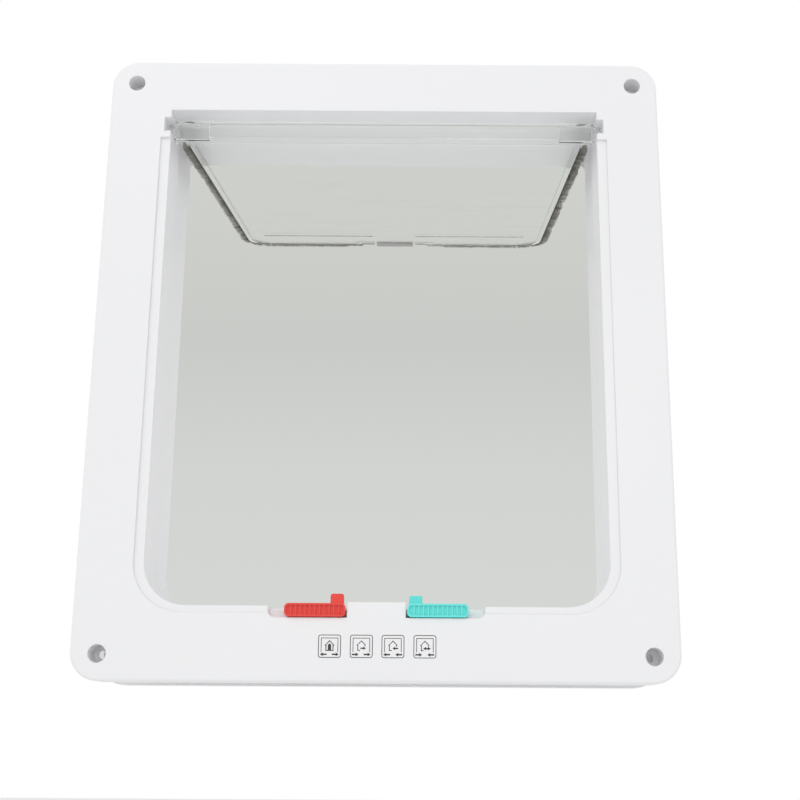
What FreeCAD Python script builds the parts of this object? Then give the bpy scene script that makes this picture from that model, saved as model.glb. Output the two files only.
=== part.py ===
"""Cat flap: two white plates with a telescoping tunnel, a clear swinging flap and two sliding locks.

The frame: X to the right as seen from the room, Y away from the room through the door, Z up.
The origin is the middle of the four screw holes, on the face of the door that the front plate
lies against. The flap is modelled hanging from its hinge axis and then swung open.
"""
import FreeCAD, Part
import math
import os
import Sketcher

SIZES = (
    ("plate_width", 250.0, "both plates, across"),
    ("plate_height", 280.0, "both plates, upright"),
    ("plate_depth", 12.0, "both plates, from the door out to the visible face"),
    ("plate_corner", 12.0, "corner radius of both plates"),
    ("plate_soft_edge", 1.3, "rounding of the visible edge of both plates"),
    ("face_wall", 2.5, "wall of the visible face"),
    ("skirt_wall", 2.2, "wall round the plate's edge"),
    ("rib_wall", 1.6, "stiffening ribs behind the plates"),
    ("rib_pitch", 45.0, "spacing of the ribs"),
    ("door_thickness", 35.0, "gap between the plates, where the door is"),
    ("border_beside", 28.0, "plate beside the opening"),
    ("border_above", 24.5, "plate above the opening"),
    ("border_below", 31.0, "plate below the opening"),
    ("opening_width", "=plate_width - 2 * border_beside", "clear width of the front tunnel"),
    ("opening_top", "=plate_height / 2 - border_above", "ceiling of the front tunnel above the middle"),
    ("opening_bottom", "=plate_height / 2 - border_below", "sill below the middle"),
    ("opening_corner", 17.8, "radius of the opening's lower corners"),
    ("opening_soft_edge", 1.2, "rounding where the face turns into the tunnel"),
    ("tunnel_wall", 2.0, "wall of both tunnels"),
    ("tunnel_past_door_face", 8.0, "reach of the front tunnel into the door"),
    ("tunnel_top_corner", 3.6, "outer radius of the front tunnel's upper corners"),
    ("sleeve_clearance", 0.35, "gap between the front tunnel and the sleeve round it"),
    ("sleeve_start", 3.6, "front end of the sleeve behind the door's face"),
    ("ledge_width", 4.3, "shallow ledge beside the opening"),
    ("ledge_width_below", 3.0, "shallow ledge below the opening"),
    ("ledge_depth", 1.2, "step down to the ledge"),
    ("ledge_below_ceiling", 13.5, "upper end of the ledge below the ceiling"),
    ("ledge_top", "=opening_top - ledge_below_ceiling", "upper end of the ledge above the middle"),
    ("screw_from_side", 11.25, "screw holes in from the plate's sides"),
    ("screw_from_top", 11.0, "screw holes in from the plate's upper and lower edges"),
    ("screw_spacing_across", "=plate_width - 2 * screw_from_side", "screw holes, across"),
    ("screw_spacing_upright", "=plate_height - 2 * screw_from_top", "screw holes, upright"),
    ("screw_head_bore", 7.4, "counterbore for the screw head"),
    ("screw_head_depth", 9.5, "depth of that counterbore"),
    ("screw_bore", 3.6, "hole for the screw"),
    ("pilot_bore", 3.0, "pilot hole in the rear plate's bosses"),
    ("pilot_depth", 9.0, "depth of the pilot holes"),
    ("boss_size", 11.5, "screw bosses"),
    ("hinge_below_ceiling", 7.1, "hinge axis below the ceiling"),
    ("hinge_behind_face", 7.5, "hinge axis behind the plate's face"),
    ("pin_size", 6.3, "hinge pins"),
    ("pin_play", 0.35, "gap round a hinge pin in its slot"),
    ("pin_in_slot", 2.6, "length of a hinge pin inside its slot"),
    ("pin_in_rail", 15.0, "length of a hinge pin inside the rail"),
    ("pin_fit", 0.03, "gap between a pin and the rail's bore"),
    ("pin_collar", 0.8, "thickness of the pin's collar"),
    ("pin_collar_size", 8.4, "diameter of the pin's collar"),
    ("pin_end_round", 0.6, "rounding of a pin's inner end"),
    ("slot_floor", 2.0, "wall beyond the end of a hinge slot"),
    ("slot_bump", 1.3, "height of the bump that a pin snaps past"),
    ("open_angle", 99.6, "swing of the flap from hanging to where it is shown"),
    ("rail_size", 9.4, "round rail along the flap's top"),
    ("rail_end_gap", 1.3, "gap between the rail and the tunnel's side"),
    ("panel_offset", 3.0, "middle of the panel in front of the hinge axis"),
    ("panel_thickness", 2.0, "clear panel"),
    ("rim_thickness", 2.6, "raised rim of the flap"),
    ("rim_width", 3.3, "raised rim of the flap, in the panel's plane"),
    ("flap_corner", 14.4, "radius of the flap's lower corners"),
    ("pile_side_gap", 0.8, "gap between the pile and the tunnel's side"),
    ("pile_sill_gap", 1.3, "gap between the pile and the sill"),
    ("pile_height", 4.2, "pile beyond the flap's sides"),
    ("pile_height_below", 2.8, "pile beyond the flap's lower edge"),
    ("pile_height_in_notch", 2.4, "pile beyond the notch's edge"),
    ("pile_corner", "=flap_corner + pile_height", "outer corner of the pile"),
    ("pile_thickness", 2.4, "pile across the flap's plane"),
    ("pile_backing", 0.9, "woven backing of the pile strip"),
    ("pile_start", 8.5, "upper end of the pile below the hinge axis"),
    ("notch_tab_gap", 1.9, "end of the notch beyond a lock's tab"),
    ("notch_height", 3.8, "height of that notch"),
    ("band_side_gap", 8.7, "thicker bands above the lower rim to the rim at the side"),
    ("band_height", 18.0, "height of those bands"),
    ("holder_half", 11.4, "half width of the magnet holder"),
    ("holder_pile_gap", 1.6, "gap between the holder and the pile"),
    ("holder_sill_gap", 0.8, "gap between the holder and the cover in the sill"),
    ("holder_thickness", 2.8, "magnet holder across the flap's plane"),
    ("holder_wall", 0.7, "walls of the magnet holder"),
    ("holder_grip", 2.2, "reach of the holder up the flap"),
    ("holder_fit", 0.05, "gap between the holder and the flap's tongue"),
    ("tongue_of_flap", 1.2, "thickness of the flap where the holder grips it"),
    ("flap_magnet_thickness", 1.3, "magnet in the holder, through the door"),
    ("flap_magnet_height", 3.8, "magnet in the holder, upright"),
    ("sill_magnet_thickness", 4.0, "magnet in the sill, through the door"),
    ("sill_magnet_height", 4.0, "magnet in the sill, upright"),
    ("magnet_half", 9.5, "half length of both magnets"),
    ("magnet_fit", 0.05, "gap round the magnets"),
    ("cover_half", 12.0, "half width of the magnet cover"),
    ("cover_rise", 1.5, "magnet cover above the sill"),
    ("cover_fit", 0.1, "gap beside the magnet cover"),
    ("cover_wall", 1.0, "top wall of the magnet cover"),
    ("cover_front", 1.2, "wall of the front plate before the magnet cover"),
    ("recess_drop", 4.9, "lock recess below the sill"),
    ("recess_depth", 6.0, "lock recess behind the face"),
    ("recess_corner", 3.0, "lower corners of the lock recess"),
    ("recess_dip", 1.2, "wall behind the lock recess below the sill"),
    ("block_drop", 9.0, "sill block below the sill"),
    ("block_past_door_face", 2.6, "reach of the sill and hinge blocks into the door"),
    ("lock_length", 25.2, "body of a lock"),
    ("lock_gap", 0.7, "lock to magnet cover where it stands"),
    ("lock_play", 0.25, "gap round a lock in its recess"),
    ("lock_rise", 0.9, "lock body above the sill"),
    ("lock_proud", 0.9, "lock body in front of the face"),
    ("lock_corner", 1.9, "rounded ends of a lock body"),
    ("lock_rim", 0.8, "rim round the grip"),
    ("lock_grip_depth", 0.9, "depth of the grip"),
    ("lock_ribs", 11.0, "ribs of the grip"),
    ("lock_rib_wall", 0.7, "thickness of a grip rib"),
    ("lock_travel", 6.3, "travel of each lock"),
    ("recess_end_gap", 0.6, "end of the recess beyond a lock that is slid out"),
    ("block_wall", 4.2, "sill block beside the lock recess"),
    ("recess_half", "=cover_half + lock_gap + lock_length + lock_travel + recess_end_gap",
     "half width of the lock recess"),
    ("block_half", "=recess_half + block_wall", "half width of the sill block"),
    ("tab_width", 5.5, "tab of a lock"),
    ("tab_inset", 0.7, "tab in from the lock's end"),
    ("tab_rise", 4.8, "tab above the sill"),
    ("tab_corner", 1.0, "rounded top corners of a tab"),
    ("tab_flap_gap", 0.5, "tab to the flap's rim, front or back"),
    ("rear_tab_thickness", 2.6, "tab behind the flap"),
    ("arm_below_sill", 0.3, "arm of the rear tab below the sill"),
    ("arm_height", 1.9, "arm of the rear tab"),
    ("tongue_height", 2.0, "tongue of a lock in its groove"),
    ("tongue_thickness", 1.4, "tongue of a lock"),
    ("tongue_end", 3.0, "tongue shorter than the lock at each end"),
    ("notch_half", "=cover_half + lock_gap + tab_inset + tab_width + notch_tab_gap",
     "half width of the notch over the lock tabs"),
    ("flap_half", "=opening_width / 2 - pile_side_gap - pile_height", "half width of the flap"),
    ("band_half", "=flap_half - rim_width - band_side_gap",
     "half width of the thicker bands above the lower rim"),
)

doc = FreeCAD.newDocument("CatFlap")
sheet = doc.addObject("Spreadsheet::Sheet", "Sizes")
for row, (alias, value, meaning) in enumerate(SIZES, 1):
    sheet.set("A%d" % row, str(value))
    sheet.set("B%d" % row, meaning)
    sheet.setAlias("A%d" % row, alias)
doc.recompute()

# Planes and outlines that several pieces share, as expressions of the sheet
FACE = "Sizes.plate_depth"
REAR_FACE = "(Sizes.door_thickness + Sizes.plate_depth)"
HALF_W = "Sizes.plate_width / 2"
HALF_H = "Sizes.plate_height / 2"
SKIRT_W = "(Sizes.plate_width / 2 - Sizes.skirt_wall)"
SKIRT_H = "(Sizes.plate_height / 2 - Sizes.skirt_wall)"
OPEN_W = "Sizes.opening_width / 2"
OPEN_T = "Sizes.opening_top"
SILL = "-Sizes.opening_bottom"
CAVITY = "(Sizes.plate_depth - Sizes.face_wall)"
SLEEVE_GROW = "(Sizes.tunnel_wall + Sizes.sleeve_clearance)"
HINGE_Y = "(Sizes.hinge_behind_face - Sizes.plate_depth)"
HINGE_Z = "(Sizes.opening_top - Sizes.hinge_below_ceiling)"
PANEL_Y = "(Sizes.hinge_behind_face - Sizes.plate_depth - Sizes.panel_offset)"
RIM_FRONT = "(Sizes.panel_offset + Sizes.rim_thickness / 2)"
RIM_BACK = "(Sizes.rim_thickness / 2 - Sizes.panel_offset)"
PILE_FRONT = "(Sizes.panel_offset + Sizes.pile_thickness / 2)"
PIN_END = "(Sizes.opening_width / 2 + Sizes.pin_in_slot)"
SLOT_END = "(Sizes.opening_width / 2 + Sizes.pin_in_slot + Sizes.pin_play)"
RAIL_END = "(Sizes.opening_width / 2 - Sizes.rail_end_gap)"
EDGE_W = "Sizes.flap_half"
DROP_TO_SILL = "(Sizes.opening_top - Sizes.hinge_below_ceiling + Sizes.opening_bottom)"
EDGE_L = "(Sizes.opening_top - Sizes.hinge_below_ceiling + Sizes.opening_bottom" \
         " - Sizes.pile_sill_gap - Sizes.pile_height_below)"
NOTCH_L = "(" + EDGE_L + " - Sizes.notch_height)"
HOLDER_L = "(" + DROP_TO_SILL + " - Sizes.cover_rise - Sizes.holder_sill_gap)"
RECESS_Z = "(-Sizes.opening_bottom - Sizes.recess_drop)"
RECESS_Y = "(Sizes.recess_depth - Sizes.plate_depth)"
COVER_SIDE = "(Sizes.cover_half + Sizes.cover_fit)"
LOCK_START = "(Sizes.cover_half + Sizes.lock_gap)"
TAB_START = "(Sizes.cover_half + Sizes.lock_gap + Sizes.tab_inset)"
PILE_END = "(Sizes.holder_half + Sizes.holder_pile_gap)"


def size(expression):
    """The number that an expression of the sheet gives now."""
    return float(sheet.evalExpression(expression))


def new_body(name):
    """An empty body whose label names its file."""
    body = doc.addObject("PartDesign::Body", name)
    body.Label = name
    return body


def new_sketch(body, name, role, lift="0"):
    """A sketch on one of the body's own planes, lifted along that plane's normal."""
    sketch = body.newObject("Sketcher::SketchObject", name)
    plane = [item for item in body.Origin.OriginFeatures if item.Role == role][0]
    sketch.AttachmentSupport = [(plane, "")]
    sketch.MapMode = "FlatFace"
    sketch.setExpression("AttachmentOffset.Base.z", lift)
    return sketch


def bind(sketch, kind, first, point, value):
    """One dimension of a sketch bound to an expression; points are measured from the sketch's origin."""
    if kind in ("Radius", "Diameter"):
        index = sketch.addConstraint(Sketcher.Constraint(kind, first, size(value)))
    else:
        index = sketch.addConstraint(Sketcher.Constraint(kind, -1, 1, first, point, size(value)))
    sketch.setExpression("Constraints[%d]" % index, value)


def pin_point(sketch, geometry, point, place):
    """Both coordinates of a point bound to expressions."""
    bind(sketch, "DistanceX", geometry, point, place[0])
    bind(sketch, "DistanceY", geometry, point, place[1])


def shifted(place, direction, distance):
    """A place, as a pair of expressions, moved along an axis direction by an expression."""
    moved = list(place)
    for axis in (0, 1):
        if direction[axis]:
            sign = "+" if direction[axis] > 0 else "-"
            moved[axis] = "(%s) %s (%s)" % (place[axis], sign, distance)
    return tuple(moved)


def heading(start, end):
    """The axis direction from one place to the next, of a pair that shares one coordinate."""
    dx = size(end[0]) - size(start[0])
    dy = size(end[1]) - size(start[1])
    if abs(dx) > abs(dy):
        return (1 if dx > 0 else -1, 0)
    return (0, 1 if dy > 0 else -1)


def outline(sketch, corners):
    """A closed outline of level and upright lines. A corner is (x, y) or (x, y, radius)."""
    count = len(corners)
    stops = []
    for i, corner in enumerate(corners):
        place = corner[:2]
        if len(corner) == 2:
            stops.append((place, place, None))
            continue
        before = heading(corners[i - 1][:2], place)
        after = heading(place, corners[(i + 1) % count][:2])
        entry = shifted(place, (-before[0], -before[1]), corner[2])
        leave = shifted(place, after, corner[2])
        stops.append((entry, leave, (before, after, corner[2])))

    lines = []
    for i in range(count):
        start = stops[i][1]
        end = stops[(i + 1) % count][0]
        a = FreeCAD.Vector(size(start[0]), size(start[1]), 0)
        b = FreeCAD.Vector(size(end[0]), size(end[1]), 0)
        lines.append(sketch.addGeometry(Part.LineSegment(a, b)))
        pin_point(sketch, lines[i], 1, start)
        if stops[(i + 1) % count][2]:
            pin_point(sketch, lines[i], 2, end)

    for i, (entry, leave, bend) in enumerate(stops):
        line_in = lines[i - 1]
        line_out = lines[i]
        if bend is None:
            sketch.addConstraint(Sketcher.Constraint("Coincident", line_in, 2, line_out, 1))
            continue
        before, after, radius = bend
        a = FreeCAD.Vector(size(entry[0]), size(entry[1]), 0)
        b = FreeCAD.Vector(size(leave[0]), size(leave[1]), 0)
        r = size(radius)
        centre = a + FreeCAD.Vector(after[0], after[1], 0) * r
        left_turn = before[0] * after[1] - before[1] * after[0] > 0
        first, last = (1, 2) if left_turn else (2, 1)
        spoke = a - centre if left_turn else b - centre
        angle = math.atan2(spoke.y, spoke.x)
        circle = Part.Circle(centre, FreeCAD.Vector(0, 0, 1), r)
        arc = sketch.addGeometry(Part.ArcOfCircle(circle, angle, angle + math.pi / 2))
        sketch.addConstraint(Sketcher.Constraint("Coincident", line_in, 2, arc, first))
        sketch.addConstraint(Sketcher.Constraint("Coincident", line_out, 1, arc, last))
        bind(sketch, "Radius", arc, 0, radius)


def box_outline(sketch, left, right, low, high):
    """A plain rectangle."""
    outline(sketch, [(left, low), (right, low), (right, high), (left, high)])


def ring(sketch, x, y, diameter):
    """A circle about a place."""
    centre = FreeCAD.Vector(size(x), size(y), 0)
    geometry = sketch.addGeometry(Part.Circle(centre, FreeCAD.Vector(0, 0, 1), size(diameter) / 2))
    pin_point(sketch, geometry, 3, (x, y))
    bind(sketch, "Diameter", geometry, 0, diameter)


def extrude(body, kind, name, sketch, length, backwards=False):
    """A pad or pocket of a sketch by a length; backwards turns it round."""
    feature = body.newObject("PartDesign::" + kind, name)
    feature.Profile = sketch
    feature.setExpression("Length", length)
    feature.Reversed = backwards
    return feature


def soften(body, name, feature, radius, belongs):
    """A fillet of the edges of a feature that pass a test."""
    doc.recompute()
    names = ["Edge%d" % (i + 1) for i, edge in enumerate(feature.Shape.Edges) if belongs(edge)]
    fillet = body.newObject("PartDesign::Fillet", name)
    fillet.Base = (feature, names)
    fillet.setExpression("Radius", radius)
    return fillet


def lies_at(edge, axis, value):
    """True where the whole edge lies at one value of one axis (0, 1 or 2)."""
    box = edge.BoundBox
    low = (box.XMin, box.YMin, box.ZMin)[axis]
    high = (box.XMax, box.YMax, box.ZMax)[axis]
    return abs(low - value) < 0.001 and abs(high - value) < 0.001


def plate_corners(half_width, half_height, radius):
    """The four rounded corners of a plate."""
    return [("-(%s)" % half_width, "-(%s)" % half_height, radius),
            (half_width, "-(%s)" % half_height, radius),
            (half_width, half_height, radius),
            ("-(%s)" % half_width, half_height, radius)]


def tunnel_corners(grow, top_radius=None):
    """The tunnel's section, round below and square or round above, grown outwards by an expression."""
    side = "(Sizes.opening_width / 2 + %s)" % grow
    top = "(Sizes.opening_top + %s)" % grow
    low = "(-Sizes.opening_bottom - %s)" % grow
    radius = "(Sizes.opening_corner + %s)" % grow
    above = (top_radius,) if top_radius else ()
    return [("-" + side, top) + above, ("-" + side, low, radius), (side, low, radius), (side, top) + above]


def add_screw_circles(sketch, diameter):
    """Four equal circles on the screw pattern."""
    for across in ("-", ""):
        for upright in ("-", ""):
            ring(sketch, across + "Sizes.screw_spacing_across / 2",
                 upright + "Sizes.screw_spacing_upright / 2", diameter)


def add_ribs(body, prefix, lift, towards_rear, grow):
    """Ribs between a plate's skirt and its tunnel, repeated from the middle both ways."""
    reach = "(Sizes.opening_width / 2 + Sizes.tunnel_wall + %s - 0.5)" % grow
    base = "(Sizes.opening_top + Sizes.tunnel_wall + %s - 0.5)" % grow
    foot = "(Sizes.opening_bottom + Sizes.tunnel_wall + %s - 0.5)" % grow
    half = "Sizes.rib_wall / 2"
    level = new_sketch(body, prefix + "level_ribs_sketch", "XZ_Plane", lift)
    upright = new_sketch(body, prefix + "upright_ribs_sketch", "XZ_Plane", lift)
    side_count = int((size(OPEN_T) - size("Sizes.opening_corner")) / size("Sizes.rib_pitch"))
    end_count = int((size(OPEN_W) - size("Sizes.opening_corner")) / size("Sizes.rib_pitch"))
    for step in range(-side_count, side_count + 1):
        low = "%d * Sizes.rib_pitch - %s" % (step, half)
        high = "%d * Sizes.rib_pitch + %s" % (step, half)
        box_outline(level, reach, SKIRT_W + " + 0.5", low, high)
        box_outline(level, "-%s - 0.5" % SKIRT_W, "-" + reach, low, high)
    for step in [n for n in range(-2 * end_count, 2 * end_count + 1) if n % 2]:
        left = "%d * Sizes.rib_pitch - %s" % (step, half)
        right = "%d * Sizes.rib_pitch + %s" % (step, half)
        if abs(step) <= 2 * end_count - 1:
            box_outline(upright, left, right, base, SKIRT_H + " + 0.5")
            box_outline(upright, left, right, "-%s - 0.5" % SKIRT_H, "-" + foot)
    extrude(body, "Pad", prefix + "level_ribs", level, CAVITY + " + 0.3", towards_rear)
    extrude(body, "Pad", prefix + "upright_ribs", upright, CAVITY + " + 0.3", towards_rear)


def front_frame():
    """Front plate, hollow behind, with its short tunnel, hinge slots, lock recess and screw holes."""
    body = new_body("front_frame")
    sketch = new_sketch(body, "plate_sketch", "XZ_Plane")
    outline(sketch, plate_corners(HALF_W, HALF_H, "Sizes.plate_corner"))
    plate = extrude(body, "Pad", "plate", sketch, FACE)
    face_y = -size(FACE)
    soften(body, "plate_edge", plate, "Sizes.plate_soft_edge", lambda edge: lies_at(edge, 1, face_y))

    sketch = new_sketch(body, "hollow_sketch", "XZ_Plane")
    outline(sketch, plate_corners(SKIRT_W, SKIRT_H, "Sizes.plate_corner - Sizes.skirt_wall"))
    outline(sketch, tunnel_corners("Sizes.tunnel_wall", "Sizes.tunnel_top_corner"))
    extrude(body, "Pocket", "hollow", sketch, CAVITY, True)

    sketch = new_sketch(body, "tunnel_sketch", "XZ_Plane")
    outline(sketch, tunnel_corners("Sizes.tunnel_wall", "Sizes.tunnel_top_corner"))
    extrude(body, "Pad", "tunnel", sketch, "Sizes.tunnel_past_door_face", True)

    sketch = new_sketch(body, "bosses_sketch", "XZ_Plane")
    add_screw_circles(sketch, "Sizes.boss_size")
    extrude(body, "Pad", "bosses", sketch, CAVITY + " + 0.3")
    add_ribs(body, "front_", "0", False, "0")

    sketch = new_sketch(body, "blocks_sketch", "XZ_Plane", "-Sizes.block_past_door_face")
    under = "(-Sizes.opening_bottom - Sizes.block_drop)"
    tunnel_floor = "(-Sizes.opening_bottom - Sizes.tunnel_wall + 0.5)"
    box_outline(sketch, "-Sizes.block_half", "Sizes.block_half", under, tunnel_floor)
    tunnel_side = "(Sizes.opening_width / 2 + Sizes.tunnel_wall - 0.5)"
    block_side = "(%s + Sizes.slot_floor)" % SLOT_END
    block_low = "(%s - Sizes.pin_size / 2 - Sizes.pin_play - Sizes.slot_floor)" % HINGE_Z
    block_high = "(%s + Sizes.pin_size / 2 + Sizes.pin_play + Sizes.slot_floor)" % HINGE_Z
    box_outline(sketch, tunnel_side, block_side, block_low, block_high)
    box_outline(sketch, "-" + block_side, "-" + tunnel_side, block_low, block_high)
    extrude(body, "Pad", "blocks", sketch, "Sizes.block_past_door_face + " + CAVITY + " + 0.3")

    sketch = new_sketch(body, "opening_sketch", "XZ_Plane", FACE)
    outline(sketch, tunnel_corners("0"))
    extrude(body, "Pocket", "opening", sketch, "Sizes.plate_depth + Sizes.tunnel_past_door_face + 1")

    sketch = new_sketch(body, "ledge_sketch", "XZ_Plane", FACE)
    side = "(Sizes.opening_width / 2 + Sizes.ledge_width)"
    low = "(-Sizes.opening_bottom - Sizes.ledge_width_below)"
    radius = "(Sizes.opening_corner + Sizes.ledge_width_below)"
    outline(sketch, [("-" + side, "Sizes.ledge_top"), ("-" + side, low, radius),
                     (side, low, radius), (side, "Sizes.ledge_top")])
    extrude(body, "Pocket", "ledge", sketch, "Sizes.ledge_depth")

    slots(body)
    lock_recess(body)

    sketch = new_sketch(body, "screw_heads_sketch", "XZ_Plane", FACE)
    add_screw_circles(sketch, "Sizes.screw_head_bore")
    extrude(body, "Pocket", "screw_heads", sketch, "Sizes.screw_head_depth")
    sketch = new_sketch(body, "screw_holes_sketch", "XZ_Plane", FACE)
    add_screw_circles(sketch, "Sizes.screw_bore")
    extrude(body, "Pocket", "screw_holes", sketch, "Sizes.plate_depth + 1")
    return body


def slots(body):
    """The two hinge slots, open towards the room, each with a bump that holds the pin in."""
    low = "(%s - Sizes.pin_size / 2 - Sizes.pin_play)" % HINGE_Z
    high = "(%s + Sizes.pin_size / 2 + Sizes.pin_play)" % HINGE_Z
    inner = "(Sizes.opening_width / 2 - 1)"
    depth = "(Sizes.hinge_behind_face + Sizes.pin_size / 2 + Sizes.pin_play)"
    sketch = new_sketch(body, "slots_sketch", "XZ_Plane", FACE)
    box_outline(sketch, inner, SLOT_END, low, high)
    box_outline(sketch, "-" + SLOT_END, "-" + inner, low, high)
    extrude(body, "Pocket", "hinge_slots", sketch, depth)

    wall = "(Sizes.opening_width / 2 + 0.4)"
    bump_high = "(%s + Sizes.slot_bump)" % low
    sketch = new_sketch(body, "bumps_sketch", "XZ_Plane", FACE + " - 1.6")
    box_outline(sketch, wall, SLOT_END + " + 0.3", low + " - 0.3", bump_high)
    box_outline(sketch, "-%s - 0.3" % SLOT_END, "-" + wall, low + " - 0.3", bump_high)
    extrude(body, "Pad", "slot_bumps", sketch, "1.2", True)


def lock_recess(body):
    """The recess of the locks, the magnet cover's seat, the tongues' grooves and the arm's channel."""
    face_y = -size(FACE)
    sketch = new_sketch(body, "recess_sketch", "XZ_Plane", FACE)
    outline(sketch, [("-Sizes.recess_half", SILL + " + 1"),
                     ("-Sizes.recess_half", RECESS_Z, "Sizes.recess_corner"),
                     ("Sizes.recess_half", RECESS_Z, "Sizes.recess_corner"),
                     ("Sizes.recess_half", SILL + " + 1")])
    extrude(body, "Pocket", "recess", sketch, "Sizes.recess_depth")

    sketch = new_sketch(body, "dip_sketch", "XZ_Plane", FACE)
    dip = SILL + " - Sizes.recess_dip"
    box_outline(sketch, "-Sizes.recess_half", "Sizes.recess_half", dip, SILL + " + 1")
    extrude(body, "Pocket", "sill_dip", sketch, "Sizes.plate_depth + Sizes.block_past_door_face")

    sketch = new_sketch(body, "cover_seat_sketch", "XZ_Plane", FACE)
    box_outline(sketch, "-" + COVER_SIDE, COVER_SIDE, RECESS_Z, SILL + " + 1")
    extrude(body, "Pocket", "cover_seat", sketch, "Sizes.plate_depth + Sizes.block_past_door_face + 0.1")

    sketch = new_sketch(body, "cover_front_sketch", "XZ_Plane", FACE)
    cover_top = SILL + " + Sizes.cover_rise"
    box_outline(sketch, "-" + COVER_SIDE, COVER_SIDE, RECESS_Z + " - 0.5", cover_top)
    wall = extrude(body, "Pad", "cover_front_wall", sketch, "Sizes.cover_front", True)
    top_z = size(cover_top)
    soften(body, "cover_front_edge", wall, "0.5",
           lambda edge: lies_at(edge, 2, top_z) and lies_at(edge, 1, face_y))

    groove_low = "(%s - Sizes.tongue_height - Sizes.lock_play)" % RECESS_Z
    groove_side = "(Sizes.recess_half - Sizes.tongue_end + Sizes.lock_play)"
    groove_lift = FACE + " - Sizes.recess_depth / 2 + Sizes.tongue_thickness / 2 + Sizes.lock_play"
    sketch = new_sketch(body, "grooves_sketch", "XZ_Plane", groove_lift)
    box_outline(sketch, LOCK_START, groove_side, groove_low, RECESS_Z + " + 0.3")
    box_outline(sketch, "-" + groove_side, "-" + LOCK_START, groove_low, RECESS_Z + " + 0.3")
    extrude(body, "Pocket", "grooves", sketch, "Sizes.tongue_thickness + 2 * Sizes.lock_play")

    left = "(%s - Sizes.lock_play)" % TAB_START
    right = "(%s + Sizes.tab_width + Sizes.lock_travel + Sizes.lock_play)" % TAB_START
    channel_low = "(-Sizes.opening_bottom - Sizes.arm_below_sill - Sizes.arm_height - Sizes.lock_play)"
    sketch = new_sketch(body, "channel_sketch", "XZ_Plane", FACE)
    box_outline(sketch, left, right, channel_low, SILL + " + 1")
    extrude(body, "Pocket", "channel", sketch,
            "Sizes.hinge_behind_face - Sizes.panel_offset + Sizes.rim_thickness / 2 + Sizes.tab_flap_gap"
            " + Sizes.rear_tab_thickness + Sizes.lock_play")


def rear_frame():
    """Rear plate, hollow towards the door, with the sleeve that slides over the front tunnel."""
    body = new_body("rear_frame")
    sketch = new_sketch(body, "rear_plate_sketch", "XZ_Plane", "-Sizes.door_thickness")
    outline(sketch, plate_corners(HALF_W, HALF_H, "Sizes.plate_corner"))
    plate = extrude(body, "Pad", "rear_plate", sketch, "Sizes.plate_depth", True)
    face_y = size(REAR_FACE)
    soften(body, "rear_plate_edge", plate, "Sizes.plate_soft_edge", lambda edge: lies_at(edge, 1, face_y))

    outer = "(%s + Sizes.tunnel_wall)" % SLEEVE_GROW
    sketch = new_sketch(body, "rear_hollow_sketch", "XZ_Plane", "-Sizes.door_thickness")
    outline(sketch, plate_corners(SKIRT_W, SKIRT_H, "Sizes.plate_corner - Sizes.skirt_wall"))
    outline(sketch, tunnel_corners(outer, "(Sizes.tunnel_top_corner + %s)" % SLEEVE_GROW))
    extrude(body, "Pocket", "rear_hollow", sketch, CAVITY)

    sketch = new_sketch(body, "sleeve_sketch", "XZ_Plane", "-Sizes.sleeve_start")
    outline(sketch, tunnel_corners(outer, "(Sizes.tunnel_top_corner + %s)" % SLEEVE_GROW))
    extrude(body, "Pad", "sleeve", sketch, "Sizes.door_thickness - Sizes.sleeve_start + 1", True)

    sketch = new_sketch(body, "rear_bosses_sketch", "XZ_Plane", "-Sizes.door_thickness")
    add_screw_circles(sketch, "Sizes.boss_size")
    extrude(body, "Pad", "rear_bosses", sketch, CAVITY + " + 0.3", True)
    add_ribs(body, "rear_", "-Sizes.door_thickness", True, SLEEVE_GROW)

    sketch = new_sketch(body, "rear_opening_sketch", "XZ_Plane", "-Sizes.sleeve_start + 1")
    outline(sketch, tunnel_corners(SLEEVE_GROW,
                                   "(Sizes.tunnel_top_corner + Sizes.sleeve_clearance)"))
    opening = extrude(body, "Pocket", "rear_opening", sketch, REAR_FACE + " - Sizes.sleeve_start + 2")
    half = size(OPEN_W) + size(SLEEVE_GROW) + 1
    soften(body, "rear_opening_edge", opening, "Sizes.opening_soft_edge",
           lambda edge: lies_at(edge, 1, face_y) and max(edge.BoundBox.XMax, -edge.BoundBox.XMin) < half)

    sketch = new_sketch(body, "pilots_sketch", "XZ_Plane", "-Sizes.door_thickness")
    add_screw_circles(sketch, "Sizes.pilot_bore")
    extrude(body, "Pocket", "pilots", sketch, "Sizes.pilot_depth")
    return body


def flap_corners(inset, top):
    """The flap's edge, with the notch over the lock tabs, moved inwards by an expression."""
    side = "(%s - %s)" % (EDGE_W, inset)
    low = "(-%s + %s)" % (EDGE_L, inset)
    notch = "(-%s + %s)" % (NOTCH_L, inset)
    step = "(Sizes.notch_half + %s)" % inset
    radius = "(Sizes.flap_corner - %s)" % inset
    return [("-" + side, top), ("-" + side, low, radius), ("-" + step, low), ("-" + step, notch),
            (step, notch), (step, low), (side, low, radius), (side, top)]


def on_side(sign, corners):
    """The corners as they are, or mirrored to the left where the sign is a minus."""
    if not sign:
        return corners
    return [("-(%s)" % corner[0],) + corner[1:] for corner in corners]


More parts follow.
